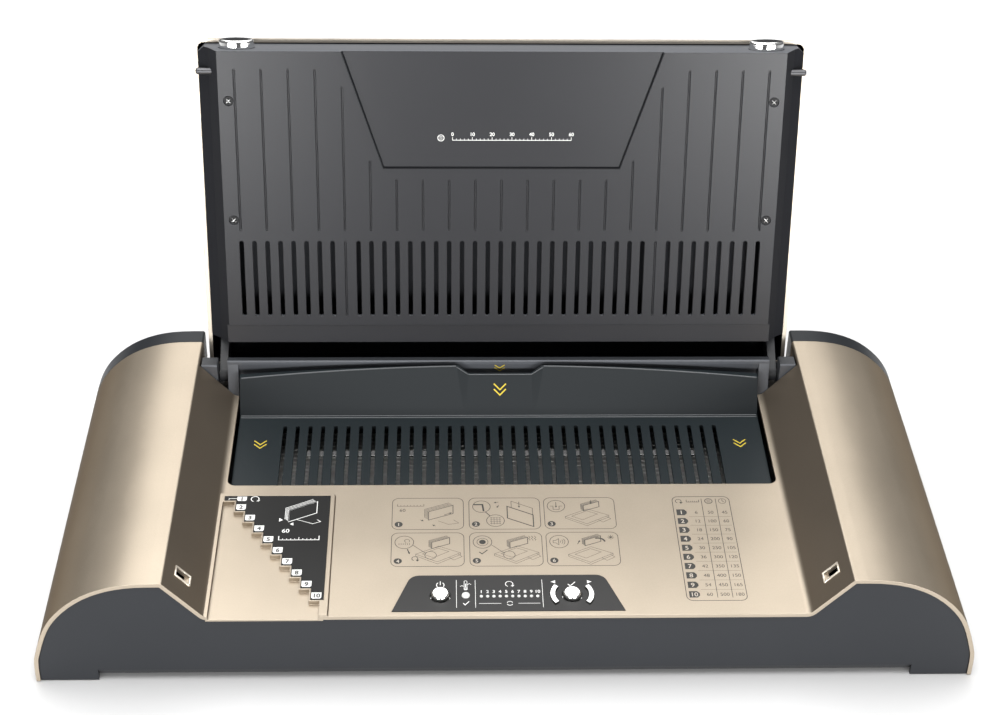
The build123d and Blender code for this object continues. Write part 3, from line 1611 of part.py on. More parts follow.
with BuildPart() as lid_screws:
    with BuildSketch(lid_level(face_out - lid_seat)):
        with Locations(*lid_screw_places):
            Circle(lid_screw_head)
    extrude(amount=lid_screw_thick)
    with BuildSketch(lid_level(face_out - lid_seat)):
        with Locations(*lid_screw_places):
            Circle(lid_screw_shank)
    extrude(amount=-lid_screw_length)
    with BuildSketch(lid_level(face_out - lid_screw_sunk)):
        with Locations(*lid_screw_places):
            Rectangle(*lid_screw_drive)
            Rectangle(*lid_screw_drive[::-1])
    extrude(amount=-lid_screw_drive[1], mode=Mode.SUBTRACT)
lid_screws.part.label = "lid_screws"
export_step(lid_screws.part, "parts/lid_screws.step")

# Hinge brackets: two steel arms from inside the lid to the hinge pins, each with a plain bush.
arm_floor = -(lid_crown - lid_wall - arm_set)
arm_end = cover_foot_s + arm_length
with BuildPart() as hinge_brackets:
    with BuildSketch(lid_side(arm_x - arm_thick / 2)):
        with Locations((hinge_s, hinge_out)):
            Circle(arm_lug_r)
        with BuildLine():
            Polyline(
                (hinge_s - arm_back[0], hinge_out - arm_back[1]),
                (hinge_s + arm_brow[0], hinge_out + arm_brow[1]),
                (hinge_s + arm_knee[0], hinge_out - arm_knee[1]),
                (cover_foot_s - arm_entry, edge_out + arm_play),
                (arm_end, edge_out - arm_play),
                (arm_end, arm_floor),
                (hinge_s + arm_heel, arm_floor),
                (hinge_s + arm_throat[0], arm_throat[1]),
                close=True,
            )
        make_face()
        with Locations((hinge_s, hinge_out)):
            Circle(hinge_pin_r + bush_wall + bush_press, mode=Mode.SUBTRACT)
    extrude(amount=arm_thick)
    mirror(about=Plane.YZ)
hinge_brackets.part.label = "hinge_brackets"
export_step(hinge_brackets.part, "parts/hinge_brackets.step")

with BuildPart() as hinge_bushes:
    with BuildSketch(lid_side(arm_x - arm_thick / 2)):
        with Locations((hinge_s, hinge_out)):
            Circle(hinge_pin_r + bush_wall)
            Circle(hinge_pin_r + running, mode=Mode.SUBTRACT)
    extrude(amount=arm_thick)
    mirror(about=Plane.YZ)
hinge_bushes.part.label = "hinge_bushes"
export_step(hinge_bushes.part, "parts/hinge_bushes.step")

# Latches: an oval chrome button slides down the lid and its wedge draws a round pin inwards.
cap_foot = cover_end_s - cover_skin - cap_sunk
block_high = cap_foot - release_travel - 3 * wedge_gap
block_out = latch_out + latch_block_rise
wedge_out = latch_out - latch_r - 2 * wedge_gap
wedge_line = latch_tail_x + latch_flat + block_high
wedge_low = cap_foot - wedge_dip


def release_button(hand):
    """Oval cap with a wedge below it, for the right (1) or left (-1) side."""
    with BuildPart() as button:
        with BuildSketch(lid_section(cap_foot)):
            with Locations((hand * release_x, release_out)):
                Ellipse(release_long / 2, release_wide / 2)
        extrude(amount=-(cover_end_s + release_travel - cap_foot))
        fillet(button.edges().sort_by(Axis.Z)[-1], release_round)
        with BuildSketch(lid_level(wedge_out)):
            wedge_in = latch_tail_x + latch_flat / 2
            wedge_side = release_x + wedge_reach
            Polygon(
                (hand * (wedge_line + wedge_gap - wedge_low), wedge_low),
                (hand * wedge_side, wedge_low),
                (hand * wedge_side, cap_foot),
                (hand * wedge_in, cap_foot),
                (hand * wedge_in, wedge_line + wedge_gap - wedge_in),
                align=None,
            )
        extrude(amount=-wedge_thick)
    return button.part


def latch_pin(hand):
    """Round pin with its sliding block, for the right (1) or left (-1) side."""
    with BuildPart() as pin:
        with BuildSketch(lid_side(hand * latch_tail_x)):
            with Locations((latch_s, latch_out)):
                Circle(latch_r)
        extrude(amount=hand * (latch_tip_x - latch_tail_x))
        chamfer(pin.edges().sort_by(Axis.X)[-1 if hand > 0 else 0], latch_chamfer)
        with BuildSketch(lid_level(block_out)):
            block_side = latch_tail_x + latch_block
            Polygon(
                (hand * latch_tail_x, latch_s - latch_block_drop),
                (hand * block_side, latch_s - latch_block_drop),
                (hand * block_side, wedge_line - block_side),
                (hand * (latch_tail_x + latch_flat), block_high),
                (hand * latch_tail_x, block_high),
                align=None,
            )
        extrude(amount=-(block_out - wedge_out + wedge_thick))
    return pin.part


def latch_spring(hand):
    """Small spring behind the pin's block, closed up here as a sleeve."""
    with BuildPart() as spring:
        with BuildSketch(lid_side(hand * (latch_tail_x - wedge_gap - latch_spring_length))):
            with Locations((latch_s, latch_out)):
                Circle(latch_spring_r)
                Circle(latch_spring_r - spring_wire, mode=Mode.SUBTRACT)
        extrude(amount=hand * latch_spring_length)
    return spring.part


with BuildPart() as release_button_left:
    add(release_button(-1))
release_button_left.part.label = "release_button_left"
export_step(release_button_left.part, "parts/release_button_left.step")

with BuildPart() as release_button_right:
    add(release_button(1))
release_button_right.part.label = "release_button_right"
export_step(release_button_right.part, "parts/release_button_right.step")

with BuildPart() as latch_pin_left:
    add(latch_pin(-1))
latch_pin_left.part.label = "latch_pin_left"
export_step(latch_pin_left.part, "parts/latch_pin_left.step")

with BuildPart() as latch_pin_right:
    add(latch_pin(1))
latch_pin_right.part.label = "latch_pin_right"
export_step(latch_pin_right.part, "parts/latch_pin_right.step")

with BuildPart() as latch_spring_left:
    add(latch_spring(-1))
latch_spring_left.part.label = "latch_spring_left"
export_step(latch_spring_left.part, "parts/latch_spring_left.step")

with BuildPart() as latch_spring_right:
    add(latch_spring(1))
latch_spring_right.part.label = "latch_spring_right"
export_step(latch_spring_right.part, "parts/latch_spring_right.step")

# Latch frame: the steel plate in the lid that guides each block and backs its spring.
plate_out = wedge_out - wedge_thick - wedge_gap
stand_x = latch_tail_x - latch_spring_length - 2 * wedge_gap
with BuildPart() as latch_frames:
    with BuildSketch(lid_level(plate_out)):
        with Locations((stand_x - latch_spring_r, latch_s - latch_spring_r - latch_block_drop)):
            plate_x = release_x + wedge_reach - stand_x
            plate_s = block_high - latch_s + latch_spring_r + latch_block_drop
            Rectangle(plate_x, plate_s, align=Align.MIN)
    extrude(amount=-latch_plate)
    with BuildSketch(lid_level(plate_out)):
        with Locations((stand_x - latch_spring_r, latch_s)):
            Rectangle(latch_spring_r, 4 * latch_spring_r, align=(Align.MIN, Align.CENTER))
    extrude(amount=face_out - cover_skin - fit_gap - plate_out)
    mirror(about=Plane.YZ)
latch_frames.part.label = "latch_frames"
export_step(latch_frames.part, "parts/latch_frames.step")
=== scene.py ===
import math
import bmesh
import bpy
from mathutils import Matrix, Vector


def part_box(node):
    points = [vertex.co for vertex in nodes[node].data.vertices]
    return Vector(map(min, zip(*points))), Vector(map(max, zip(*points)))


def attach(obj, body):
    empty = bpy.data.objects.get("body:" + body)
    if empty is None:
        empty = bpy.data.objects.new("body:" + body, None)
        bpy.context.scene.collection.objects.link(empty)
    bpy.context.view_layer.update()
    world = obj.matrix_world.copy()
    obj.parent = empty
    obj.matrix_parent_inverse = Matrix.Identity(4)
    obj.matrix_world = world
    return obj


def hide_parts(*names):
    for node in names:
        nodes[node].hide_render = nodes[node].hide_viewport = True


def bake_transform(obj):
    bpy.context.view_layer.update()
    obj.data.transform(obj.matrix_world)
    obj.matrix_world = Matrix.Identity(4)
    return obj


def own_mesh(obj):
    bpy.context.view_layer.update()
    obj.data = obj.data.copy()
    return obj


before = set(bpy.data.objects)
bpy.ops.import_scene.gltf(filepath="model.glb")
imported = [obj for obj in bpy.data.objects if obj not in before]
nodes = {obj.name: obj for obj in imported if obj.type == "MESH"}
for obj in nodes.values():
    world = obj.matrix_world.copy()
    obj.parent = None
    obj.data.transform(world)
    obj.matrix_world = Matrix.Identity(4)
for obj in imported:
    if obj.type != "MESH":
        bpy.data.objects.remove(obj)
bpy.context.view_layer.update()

scene = bpy.context.scene

# Studio: a pale paper sweep under the machine, a soft sky, a broad softbox above, one behind and
# two small low ones at the front corners. The camera stands where the photographer stood.
camera_data = bpy.data.cameras.new("camera")
camera_data.sensor_width = 36.0
camera_data.lens = 68.58
camera_data.clip_end = 50.0
camera = bpy.data.objects.new("camera", camera_data)
scene.collection.objects.link(camera)
tilt, pan, roll = math.radians(36.08), math.radians(2.27), math.radians(-1.24)
ahead = Vector((math.sin(pan) * math.cos(tilt), math.cos(pan) * math.cos(tilt), -math.sin(tilt)))
level_right = Vector((math.cos(pan), -math.sin(pan), 0.0))
level_down = ahead.cross(level_right)
right = level_right * math.cos(roll) + level_down * math.sin(roll)
down = level_down * math.cos(roll) - level_right * math.sin(roll)
turn = Matrix((right, -down, -ahead)).transposed()
camera.matrix_world = Matrix.Translation((-0.03841, -0.90763, 0.78325)) @ turn.to_4x4()
scene.camera = camera


def softbox(name, place, aim, size, power):
    """Oblong soft light that hangs at a place and looks at a point."""
    lamp = bpy.data.lights.new(name, "AREA")
    lamp.shape = "RECTANGLE"
    lamp.size, lamp.size_y = size
    lamp.energy = power
    holder = bpy.data.objects.new(name, lamp)
    scene.collection.objects.link(holder)
    holder.location = place
    holder.rotation_euler = (Vector(aim) - Vector(place)).to_track_quat("-Z", "Y").to_euler()
    holder.visible_camera = False


softbox("softbox_top", (-0.08, 0.1, 2.2), (0.0, 0.1, 0.0), (2.6, 2.1), 82.0)
softbox("softbox_back", (-0.12, 2.6, 2.0), (0.0, 0.4, 0.0), (2.4, 1.4), 26.0)
softbox("softbox_front_left", (-0.95, -2.2, 0.3), (0.0, 0.0, 0.2), (1.2, 0.5), 36.0)
softbox("softbox_front_right", (1.05, -2.2, 0.3), (0.0, 0.0, 0.2), (1.2, 0.5), 40.0)

sky = bpy.data.worlds.new("sky")
scene.world = sky
sky.use_nodes = True
sky_tree = sky.node_tree
sky_way = sky_tree.nodes.new("ShaderNodeTexCoord")
sky_part = sky_tree.nodes.new("ShaderNodeSeparateXYZ")
sky_tree.links.new(sky_way.outputs["Generated"], sky_part.inputs["Vector"])
sky_tone = sky_tree.nodes.new("ShaderNodeValToRGB")
sky_tone.color_ramp.elements[0].position = 0.02
sky_tone.color_ramp.elements[0].color = (0.2, 0.2, 0.21, 1.0)
sky_tone.color_ramp.elements[1].position = 0.75
sky_tone.color_ramp.elements[1].color = (1.0, 1.0, 1.0, 1.0)
sky_tree.links.new(sky_part.outputs["Z"], sky_tone.inputs["Fac"])
sky_tree.links.new(sky_tone.outputs["Color"], sky_tree.nodes["Background"].inputs["Color"])
sky_tree.nodes["Background"].inputs["Strength"].default_value = 0.34
scene.view_settings.view_transform = "Standard"

sweep_mesh = bpy.data.meshes.new("paper_sweep")
sweep_mesh.from_pydata([(-6, -6, 0), (6, -6, 0), (6, 6, 0), (-6, 6, 0)], [], [(0, 1, 2, 3)])
sweep = bpy.data.objects.new("paper_sweep", sweep_mesh)
scene.collection.objects.link(sweep)
paper = bpy.data.materials.new("paper")
paper.use_nodes = True
paper_shader = paper.node_tree.nodes["Principled BSDF"]
paper_shader.inputs["Base Color"].default_value = (0.7, 0.7, 0.7, 1.0)
paper_shader.inputs["Roughness"].default_value = 0.9
sweep_mesh.materials.append(paper)

# Base pan, rubber feet and housing screws: the black moulded tray that closes the machine from
# below, with four rubber pads and four black self-tapping screws sunk into it.


def surface(name, colour, rough, grain=1400.0, depth=0.00003, mottle=0.06, metal=0.0, edge=0.0004, gloss=0.5):
    """Moulded or painted surface: faint colour mottle, uneven sheen, fine grain, softened edges."""
    material = bpy.data.materials.new(name)
    material.use_nodes = True
    tree = material.node_tree
    shader = tree.nodes["Principled BSDF"]
    shader.inputs["Metallic"].default_value = metal
    shader.inputs["Specular IOR Level"].default_value = gloss
    spot = tree.nodes.new("ShaderNodeTexCoord")
    cloud = tree.nodes.new("ShaderNodeTexNoise")
    cloud.inputs["Scale"].default_value = 16.0
    cloud.inputs["Detail"].default_value = 3.0
    tree.links.new(spot.outputs["Object"], cloud.inputs["Vector"])
    fine = tree.nodes.new("ShaderNodeTexNoise")
    fine.inputs["Scale"].default_value = grain
    fine.inputs["Detail"].default_value = 2.0
    tree.links.new(spot.outputs["Object"], fine.inputs["Vector"])
    both = tree.nodes.new("ShaderNodeMath")
    both.operation = "MULTIPLY_ADD"
    both.inputs[1].default_value = 0.5
    tree.links.new(fine.outputs["Fac"], both.inputs[0])
    tree.links.new(cloud.outputs["Fac"], both.inputs[2])
    tone = tree.nodes.new("ShaderNodeValToRGB")
    tone.color_ramp.elements[0].position = 0.45
    tone.color_ramp.elements[1].position = 1.05
    tone.color_ramp.elements[0].color = (*[c * (1 - mottle) for c in colour], 1.0)
    tone.color_ramp.elements[1].color = (*[min(1.0, c * (1 + mottle)) for c in colour], 1.0)
    tree.links.new(both.outputs[0], tone.inputs["Fac"])
    tree.links.new(tone.outputs["Color"], shader.inputs["Base Color"])
    sheen = tree.nodes.new("ShaderNodeMapRange")
    sheen.inputs["To Min"].default_value = rough * 0.96
    sheen.inputs["To Max"].default_value = min(1.0, rough * 1.04)
    tree.links.new(cloud.outputs["Fac"], sheen.inputs["Value"])
    tree.links.new(sheen.outputs["Result"], shader.inputs["Roughness"])
    bump = tree.nodes.new("ShaderNodeBump")
    bump.inputs["Strength"].default_value = 0.6
    bump.inputs["Distance"].default_value = depth
    tree.links.new(fine.outputs["Fac"], bump.inputs["Height"])
    soft = tree.nodes.new("ShaderNodeBevel")
    soft.samples = 4
    soft.inputs["Radius"].default_value = edge
    tree.links.new(soft.outputs["Normal"], bump.inputs["Normal"])
    tree.links.new(bump.outputs["Normal"], shader.inputs["Normal"])
    return material


def finish_nodes(material, *names):
    """Gives CAD nodes a material in all their slots."""
    for name in names:
        mesh = nodes[name].data
        mesh.materials.clear()
        mesh.materials.append(material)


black_moulding = surface("black_moulding", (0.018, 0.019, 0.021), 0.55, 1100.0, 0.00004)
foot_rubber = surface("foot_rubber", (0.02, 0.02, 0.02), 0.8, 900.0, 0.00006)
black_steel = surface("black_steel", (0.06, 0.06, 0.065), 0.35, 3000.0, 0.00001, 0.15, 0.9, 0.0002)
finish_nodes(black_moulding, "base_pan")
finish_nodes(foot_rubber, "rubber_feet", "rear_bumpers")
finish_nodes(black_steel, "housing_screws", "board_screws")

# Front panel, rear cap and rear housing: slate grey mouldings with a fine spark-eroded texture,
# screwed to the base pan. The housing is painted lighter where it faces the front, behind the flap:
# painted light.


def reach(material, reading, way, low, high):
    """Mask of a surface: 0 where its reading along one way is at low, 1 where it is at high."""
    tree = material.node_tree
    spot = next(n for n in tree.nodes if n.type == "TEX_COORD")
    along = tree.nodes.new("ShaderNodeVectorMath")
    along.operation = "DOT_PRODUCT"
    along.inputs[1].default_value = way
    tree.links.new(spot.outputs[reading], along.inputs[0])
    mask = tree.nodes.new("ShaderNodeMapRange")
    mask.inputs["From Min"].default_value = low
    mask.inputs["From Max"].default_value = high
    tree.links.new(along.outputs["Value"], mask.inputs["Value"])
    return mask.outputs["Result"]


def second_coat(material, mask, colour, rough=None):
    """Second colour, and sheen if given, of a surface where a mask holds."""
    tree = material.node_tree
    shader = tree.nodes["Principled BSDF"]
    coat = tree.nodes.new("ShaderNodeMix")
    coat.data_type = "RGBA"
    tree.links.new(mask, coat.inputs["Factor"])
    tree.links.new(shader.inputs["Base Color"].links[0].from_socket, coat.inputs[6])
    coat.inputs[7].default_value = (*colour, 1.0)
    tree.links.new(coat.outputs[2], shader.inputs["Base Color"])
    if rough:
        dull = tree.nodes.new("ShaderNodeMix")
        tree.links.new(mask, dull.inputs["Factor"])
        tree.links.new(shader.inputs["Roughness"].links[0].from_socket, dull.inputs[2])
        dull.inputs[3].default_value = rough
        tree.links.new(dull.outputs[0], shader.inputs["Roughness"])


slate_moulding = surface("slate_moulding", (0.0165, 0.0182, 0.0215), 0.5, 1300.0, 0.00003, gloss=0.3)
cap_moulding = surface("cap_moulding", (0.012, 0.014, 0.017), 0.45, 1300.0, 0.00003, gloss=0.3)
housing_moulding = surface("housing_moulding", (0.022, 0.024, 0.028), 0.42, 1500.0, 0.00002)
finish_nodes(slate_moulding, "front_panel")
finish_nodes(cap_moulding, "rear_cap")
# Painted light: a lighter colour on the faces toward the front, where the flap keeps the lamps off.
painted_light_front = reach(housing_moulding, "Normal", Vector((0, -1, 0)), 0.4, 0.6)
second_coat(housing_moulding, painted_light_front, (0.075, 0.08, 0.09))
finish_nodes(housing_moulding, "rear_housing")

# Top cover: one large moulding sprayed with champagne metallic paint over a fine texture, so it
# sparkles slightly. Its colour is painted darker on the faces that turn to either side, the pod
# flanks and slopes: painted shade.


def metallic_paint(name, colour, rough, metal):
    """Sprayed metallic paint: a warm satin lacquer over a fine texture."""
    material = surface(name, colour, rough, 1700.0, 0.000025, 0.07, metal)
    shader = material.node_tree.nodes["Principled BSDF"]
    shader.inputs["Specular Tint"].default_value = (0.32, 0.28, 0.23, 1.0)
    return material


champagne = metallic_paint("champagne_paint", (0.48, 0.412, 0.327), 0.42, 0.86)
# Painted shade: a darker colour on faces that turn to the left or right.
for side in (-1, 1):
    painted_shade_flank = reach(champagne, "Normal", Vector((side, 0, 0)), 0.45, 0.98)
    second_coat(champagne, painted_shade_flank, (0.13, 0.1, 0.075))
finish_nodes(champagne, "top_cover")

# Thickness gauge label: a satin black film let into the deck beside the stepped recess, with
# white number tags along the steps and a plain drawing of a document over a ruler.
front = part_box("top_cover")[0].y
label_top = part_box("gauge_label")[1].z


def ink_line(ink, points, width, closed=False):
    """Ribbon along flat points in millimetres, mitred at its corners."""
    places = [Vector((p[0], p[1], 0.0)) for p in points]
    count = len(places)
    sides = []
    for n, place in enumerate(places):
        before = places[n - 1] if closed or n else place
        after = places[(n + 1) % count] if closed or n < count - 1 else place
        come, go = place - before, after - place
        come = (come if come.length else go).normalized()
        go = (go if go.length else come).normalized()
        across = Vector((-come.y - go.y, come.x + go.x, 0.0)).normalized()
        spread = across * (width / 2 / max(0.4, across.dot(Vector((-come.y, come.x, 0.0)))))
        sides.append((ink.verts.new(place + spread), ink.verts.new(place - spread)))
    for n in range(count if closed else count - 1):
        (a, b), (c, d) = sides[n], sides[(n + 1) % count]
        ink.faces.new((a, b, d, c))


def ink_patch(ink, points):
    """Filled flat outline."""
    area = sum(p[0] * q[1] - q[0] * p[1] for p, q in zip(points, points[1:] + points[:1]))
    ring = points if area > 0 else points[::-1]
    ink.faces.new([ink.verts.new((p[0], p[1], 0.0)) for p in ring])


def arc(x, y, r, start=0.0, stop=360.0, squeeze=1.0):
    """Points round an arc, in degrees."""
    steps = max(6, int(abs(stop - start) / 12))
    turns = [math.radians(start + (stop - start) * n / steps) for n in range(steps + 1)]
    return [(x + r * math.cos(a), y + r * squeeze * math.sin(a)) for a in turns]


def ink_turn(ink, x, y, r, width):
    """Nearly closed circle that ends in an arrowhead: the sign for a cycle."""
    ink_line(ink, arc(x, y, r, -60, 250), width)
    ink_patch(ink, [(x + r - 1.2, y - 0.9), (x + r + 0.9, y - 0.9), (x + r - 0.3, y - 2.4)])


def ink_number(ink, text, x, y, height, weight=0.0):
    """Plain figures centred on a point."""
    lettering = bpy.data.curves.new("figures", "FONT")
    lettering.body = text
    lettering.size = height * 1.39
    lettering.offset = weight * height
    lettering.align_x = "CENTER"
    lettering.dimensions = "2D"
    holder = bpy.data.objects.new("figures", lettering)
    scene.collection.objects.link(holder)
    view = bpy.context.evaluated_depsgraph_get()
    flat = bpy.data.meshes.new_from_object(holder.evaluated_get(view))
    flat.transform(Matrix.Translation((x, y - height / 2, 0.0)))
    ink.from_mesh(flat)
    bpy.data.meshes.remove(flat)
    bpy.data.objects.remove(holder)
    bpy.data.curves.remove(lettering)


def lay_ink(name, ink, place, material, body):
    """Lays a flat print on the machine: place turns its millimetres into the machine's frame."""
    for vert in ink.verts:
        vert.co = place(vert.co.x, vert.co.y)
    mesh = bpy.data.meshes.new(name)
    ink.to_mesh(mesh)
    ink.free()
    mesh.materials.append(material)
    piece = bpy.data.objects.new(name, mesh)
    scene.collection.objects.link(piece)
    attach(piece, body)


def on_level(height, lift):
    """Place on a level face, a little above it."""

    def place(x, y):
        return Vector((x / 1000, front + y / 1000, height + lift / 1000))

    return place


label_film = surface("label_film", (0.014, 0.014, 0.0135), 0.4, 2200.0, 0.00001, gloss=0.25)
white_ink = surface("white_ink", (0.82, 0.82, 0.8), 0.5, 2500.0, 0.00001, 0.04)
dark_ink = surface("dark_ink", (0.07, 0.07, 0.067), 0.55, 2500.0, 0.00001, 0.1)
finish_nodes(label_film, "gauge_label")
tags = bmesh.new()
tag_figures = bmesh.new()
gauge_left, step_wide, step_deep, first_tread = -166.0, 6.0, 9.47, 96.9
riser_slack, tag_inset, tag_half, tag_cut = 1.0, 4.1, 2.8, 0.8
for n in range(10):
    tag_x = gauge_left + step_wide * max(n, 1) + riser_slack + tag_inset
    tag_y = first_tread - step_deep * n + (4.35 if n else 2.35)
    tall = 2.45 if n else 1.95
    shape = [(-tag_half, tall), (tag_half, tall), (tag_half, -tall + tag_cut)]
    shape += [(tag_half - tag_cut, -tall), (tag_cut - tag_half, -tall), (-tag_half, -tall + tag_cut)]
    ink_patch(tags, [(tag_x + u, tag_y + v) for u, v in shape])
    ink_number(tag_figures, str(n + 1), tag_x, tag_y, 3.1, 0.06)
ink_line(tags, [(-162.5, 98.4), (-162.5, 99.5), (-157.8, 99.5)], 0.35)
ink_turn(tags, -147.2, 99.0, 2.3, 0.5)
rule_left, rule_low, rule_step = -131.0, 62.6, 2.32
rule_right = rule_left + 10 * rule_step
ink_line(tags, [(rule_left, 66.0), (rule_left, rule_low), (rule_right, rule_low), (rule_right, 66.0)], 0.5)
for n in range(1, 10):
    tick_x, tall = rule_left + rule_step * n, 2.4 if n == 5 else 1.2
    ink_line(tags, [(tick_x, rule_low), (tick_x, rule_low + tall)], 0.4)
ink_number(tags, "60", -127.4, 70.6, 3.2, 0.02)
for n in range(4):
    step = 0.75 * n
    sheet = [(-126.2 - step, 78.4 + step), (-126.2 - step, 88.4 + step), (-110.6 - step, 96.2 + step)]
    ink_line(tags, sheet, 0.35)
ink_line(tags, [(-126.2, 78.4), (-110.2, 86.2), (-110.2, 96.4), (-126.2, 88.4)], 0.45, True)
ink_line(tags, [(-121.5, 80.4), (-112.0, 76.6), (-107.6, 78.6), (-109.6, 80.2)], 0.35)
ink_patch(tags, [(-131.8, 78.6), (-131.8, 82.0), (-129.6, 80.0)])
ink_patch(tags, [(-125.4, 76.4), (-123.2, 75.2), (-123.4, 77.8)])
lay_ink("gauge_tags", tags, on_level(label_top, 0.03), white_ink, "base")
lay_ink("gauge_figures", tag_figures, on_level(label_top, 0.06), dark_ink, "base")

# Deck print: six step-by-step pictures in round-cornered frames, then a table of plain figures,
# screen-printed in thin grey lines straight on the paint.
deck_top = 0.049
grey_ink = surface("grey_ink", (0.05, 0.048, 0.045), 0.55, 2500.0, 0.00001, 0.08, gloss=0.25)


def ink_ring(ink, x, y, r, width):
    """Closed circle line."""
    ink_line(ink, arc(x, y, r)[:-1], width, True)


def round_frame(x0, y0, x1, y1, r):
    """Outline of a rectangle with round corners."""
    corners = [(x1 - r, y1 - r, 0), (x0 + r, y1 - r, 90), (x0 + r, y0 + r, 180), (x1 - r, y0 + r, 270)]
    return [p for x, y, a in corners for p in arc(x, y, r, a, a + 90)]


def draw_book(ink, x, y, size, thin=0.28):
    """Standing stack of sheets seen from one side."""

    def spot(u, v):
        return (x + u * size, y + v * size)

    ink_line(ink, [spot(-6, -3.4), spot(6, 1.4), spot(6, 7.6), spot(-6, 2.8)], thin * 1.5, True)
    for n in (1, 2, 3):
        shift = 0.62 * n
        line = [spot(-6 - shift, -3.4 + shift), spot(-6 - shift, 2.8 + shift), spot(6 - shift, 7.6 + shift)]
        ink_line(ink, line, thin)


def draw_machine(ink, x, y, size, thin=0.22):
    """Machine with its slot, seen from one corner."""

    def spot(u, v):
        return (x + u * size, y + v * size)

    ink_line(ink, [spot(-13, -1), spot(1, 6), spot(14, 0), spot(0, -8)], thin, True)
    ink_line(ink, [spot(-9, -0.8), spot(0.6, 4.2), spot(7, 1.2), spot(-2.4, -4.2)], thin, True)
    ink_line(ink, [spot(-13, -1), spot(-13, -2.6), spot(0, -9.8), spot(14, -1.6), spot(14, 0)], thin)
    ink_line(ink, [spot(7, -4), spot(10, -6.4), spot(15, -3.4), spot(12.4, -0.8)], thin)


def draw_arrow(ink, x, y, dx, dy, thin=0.35):
    """Straight arrow from a point."""
    size = math.hypot(dx, dy)
    u, v = dx / size, dy / size
    ink_line(ink, [(x, y), (x + dx - u, y + dy - v)], thin)
    tip_x, tip_y = x + dx, y + dy
    back_x, back_y = tip_x - 1.5 * u, tip_y - 1.5 * v
    barbs = [(back_x - 0.7 * v, back_y + 0.7 * u), (back_x + 0.7 * v, back_y - 0.7 * u)]
    ink_patch(ink, [(tip_x, tip_y), *barbs])


deck_print = bmesh.new()
badge_figures = bmesh.new()
frame_places = [(x, y) for y in (72.0, 40.3) for x in (-66.0, -20.9, 23.4)]
for n, (x, y) in enumerate(frame_places):
    tall = 28.0 if y > 50 else 28.7
    ink_line(deck_print, round_frame(x, y, x + 41.8, y + tall, 4.0), 0.35, True)
    ink_patch(deck_print, arc(x + 3.9, y + 4.6, 2.35, 0, 360)[:-1])
    ink_number(badge_figures, str(n + 1), x + 3.9, y + 4.6, 2.7, 0.02)
x, y = frame_places[0]
ink_line(deck_print, [(x + 3, y + 22.6), (x + 3, y + 20.8), (x + 18.5, y + 20.8), (x + 18.5, y + 22.6)], 0.3)
for n in range(1, 8):
    ink_line(deck_print, [(x + 3 + 1.94 * n, y + 20.8), (x + 3 + 1.94 * n, y + 21.8)], 0.25)
ink_number(deck_print, "60", x + 6.0, y + 17.2, 2.6)
draw_book(deck_print, x + 28.5, y + 12.4, 1.2)
draw_arrow(deck_print, x + 30.5, y + 13.0, 4.6, 1.9)
draw_arrow(deck_print, x + 16.4, y + 8.6, 2.2, -1.2, 0.3)
draw_arrow(deck_print, x + 25.4, y + 3.0, -2.0, 1.2, 0.3)
ink_line(deck_print, [(x + 27, y + 7.6), (x + 33, y + 4.4), (x + 39, y + 5.6), (x + 36, y + 8.4)], 0.22)
x, y = frame_places[1]
ink_ring(deck_print, x + 7.4, y + 20.2, 5.2, 0.35)
ink_line(deck_print, [(x + 2.8, y + 22.0), (x + 8.0, y + 22.0), (x + 8.6, y + 16.0)], 1.0)
ink_ring(deck_print, x + 15.4, y + 7.6, 5.2, 0.35)
for n in range(4):
    ink_line(deck_print, [(x + 12.9 + 1.7 * n, y + 4.4), (x + 12.9 + 1.7 * n, y + 10.8)], 0.22)
    ink_line(deck_print, [(x + 12.2, y + 5.0 + 1.7 * n), (x + 18.6, y + 5.0 + 1.7 * n)], 0.22)
ink_line(deck_print, [(x + 9.6, y + 15.4), (x + 12.2, y + 12.0)], 0.5)
draw_arrow(deck_print, x + 17.6, y + 24.2, -3.0, -0.6, 0.3)
draw_arrow(deck_print, x + 17.6, y + 21.6, -1.2, -2.6, 0.3)
cover = [(x + 22.5, y + 20.4), (x + 37.6, y + 12.6), (x + 37.6, y + 2.2), (x + 22.5, y + 9.8)]
ink_line(deck_print, cover, 0.6, True)
sheets = [(x + 25.0, y + 19.4), (x + 25.0, y + 25.0), (x + 37.4, y + 18.6), (x + 37.4, y + 12.8)]
ink_line(deck_print, sheets, 0.3)
draw_arrow(deck_print, x + 29.6, y + 24.4, 0, -5.4)
x, y = frame_places[2]
ink_ring(deck_print, x + 7.2, y + 20.4, 5.2, 0.35)
draw_arrow(deck_print, x + 7.2, y + 24.0, 0, -5.0)
slot_line = [(x + 3.6, y + 20.4), (x + 5.4, y + 20.4), (x + 5.4, y + 17.4)]
slot_line += [(x + 9.0, y + 17.4), (x + 9.0, y + 20.4), (x + 10.8, y + 20.4)]
ink_line(deck_print, slot_line, 0.3)
draw_machine(deck_print, x + 24.6, y + 12.0, 0.95)
draw_book(deck_print, x + 28.0, y + 18.6, 0.78)
draw_arrow(deck_print, x + 28.0, y + 25.6, 0, -3.6)
for n in (3, 4):
    x, y = frame_places[n]
    ink_ring(deck_print, x + 7.4, y + 20.6, 5.4, 0.35)
    draw_machine(deck_print, x + 26.4, y + 11.4, 0.95)
    draw_book(deck_print, x + 28.4, y + 18.0, 0.86)
    ink_ring(deck_print, x + 22.6, y + 9.4, 3.3, 0.3)
    ink_line(deck_print, [(x + 12.2, y + 18.4), (x + 19.8, y + 11.0)], 0.3)
x, y = frame_places[3]
for n in range(6):
    ink_line(deck_print, [(x + 4.4 + 1.2 * n, y + 18.4), (x + 4.4 + 1.2 * n, y + 19.8)], 0.28)
ink_line(deck_print, arc(x + 9.0, y + 21.8, 1.4, -30, 250), 0.3)
draw_arrow(deck_print, x + 9.2, y + 14.8, 1.4, -4.4, 0.6)
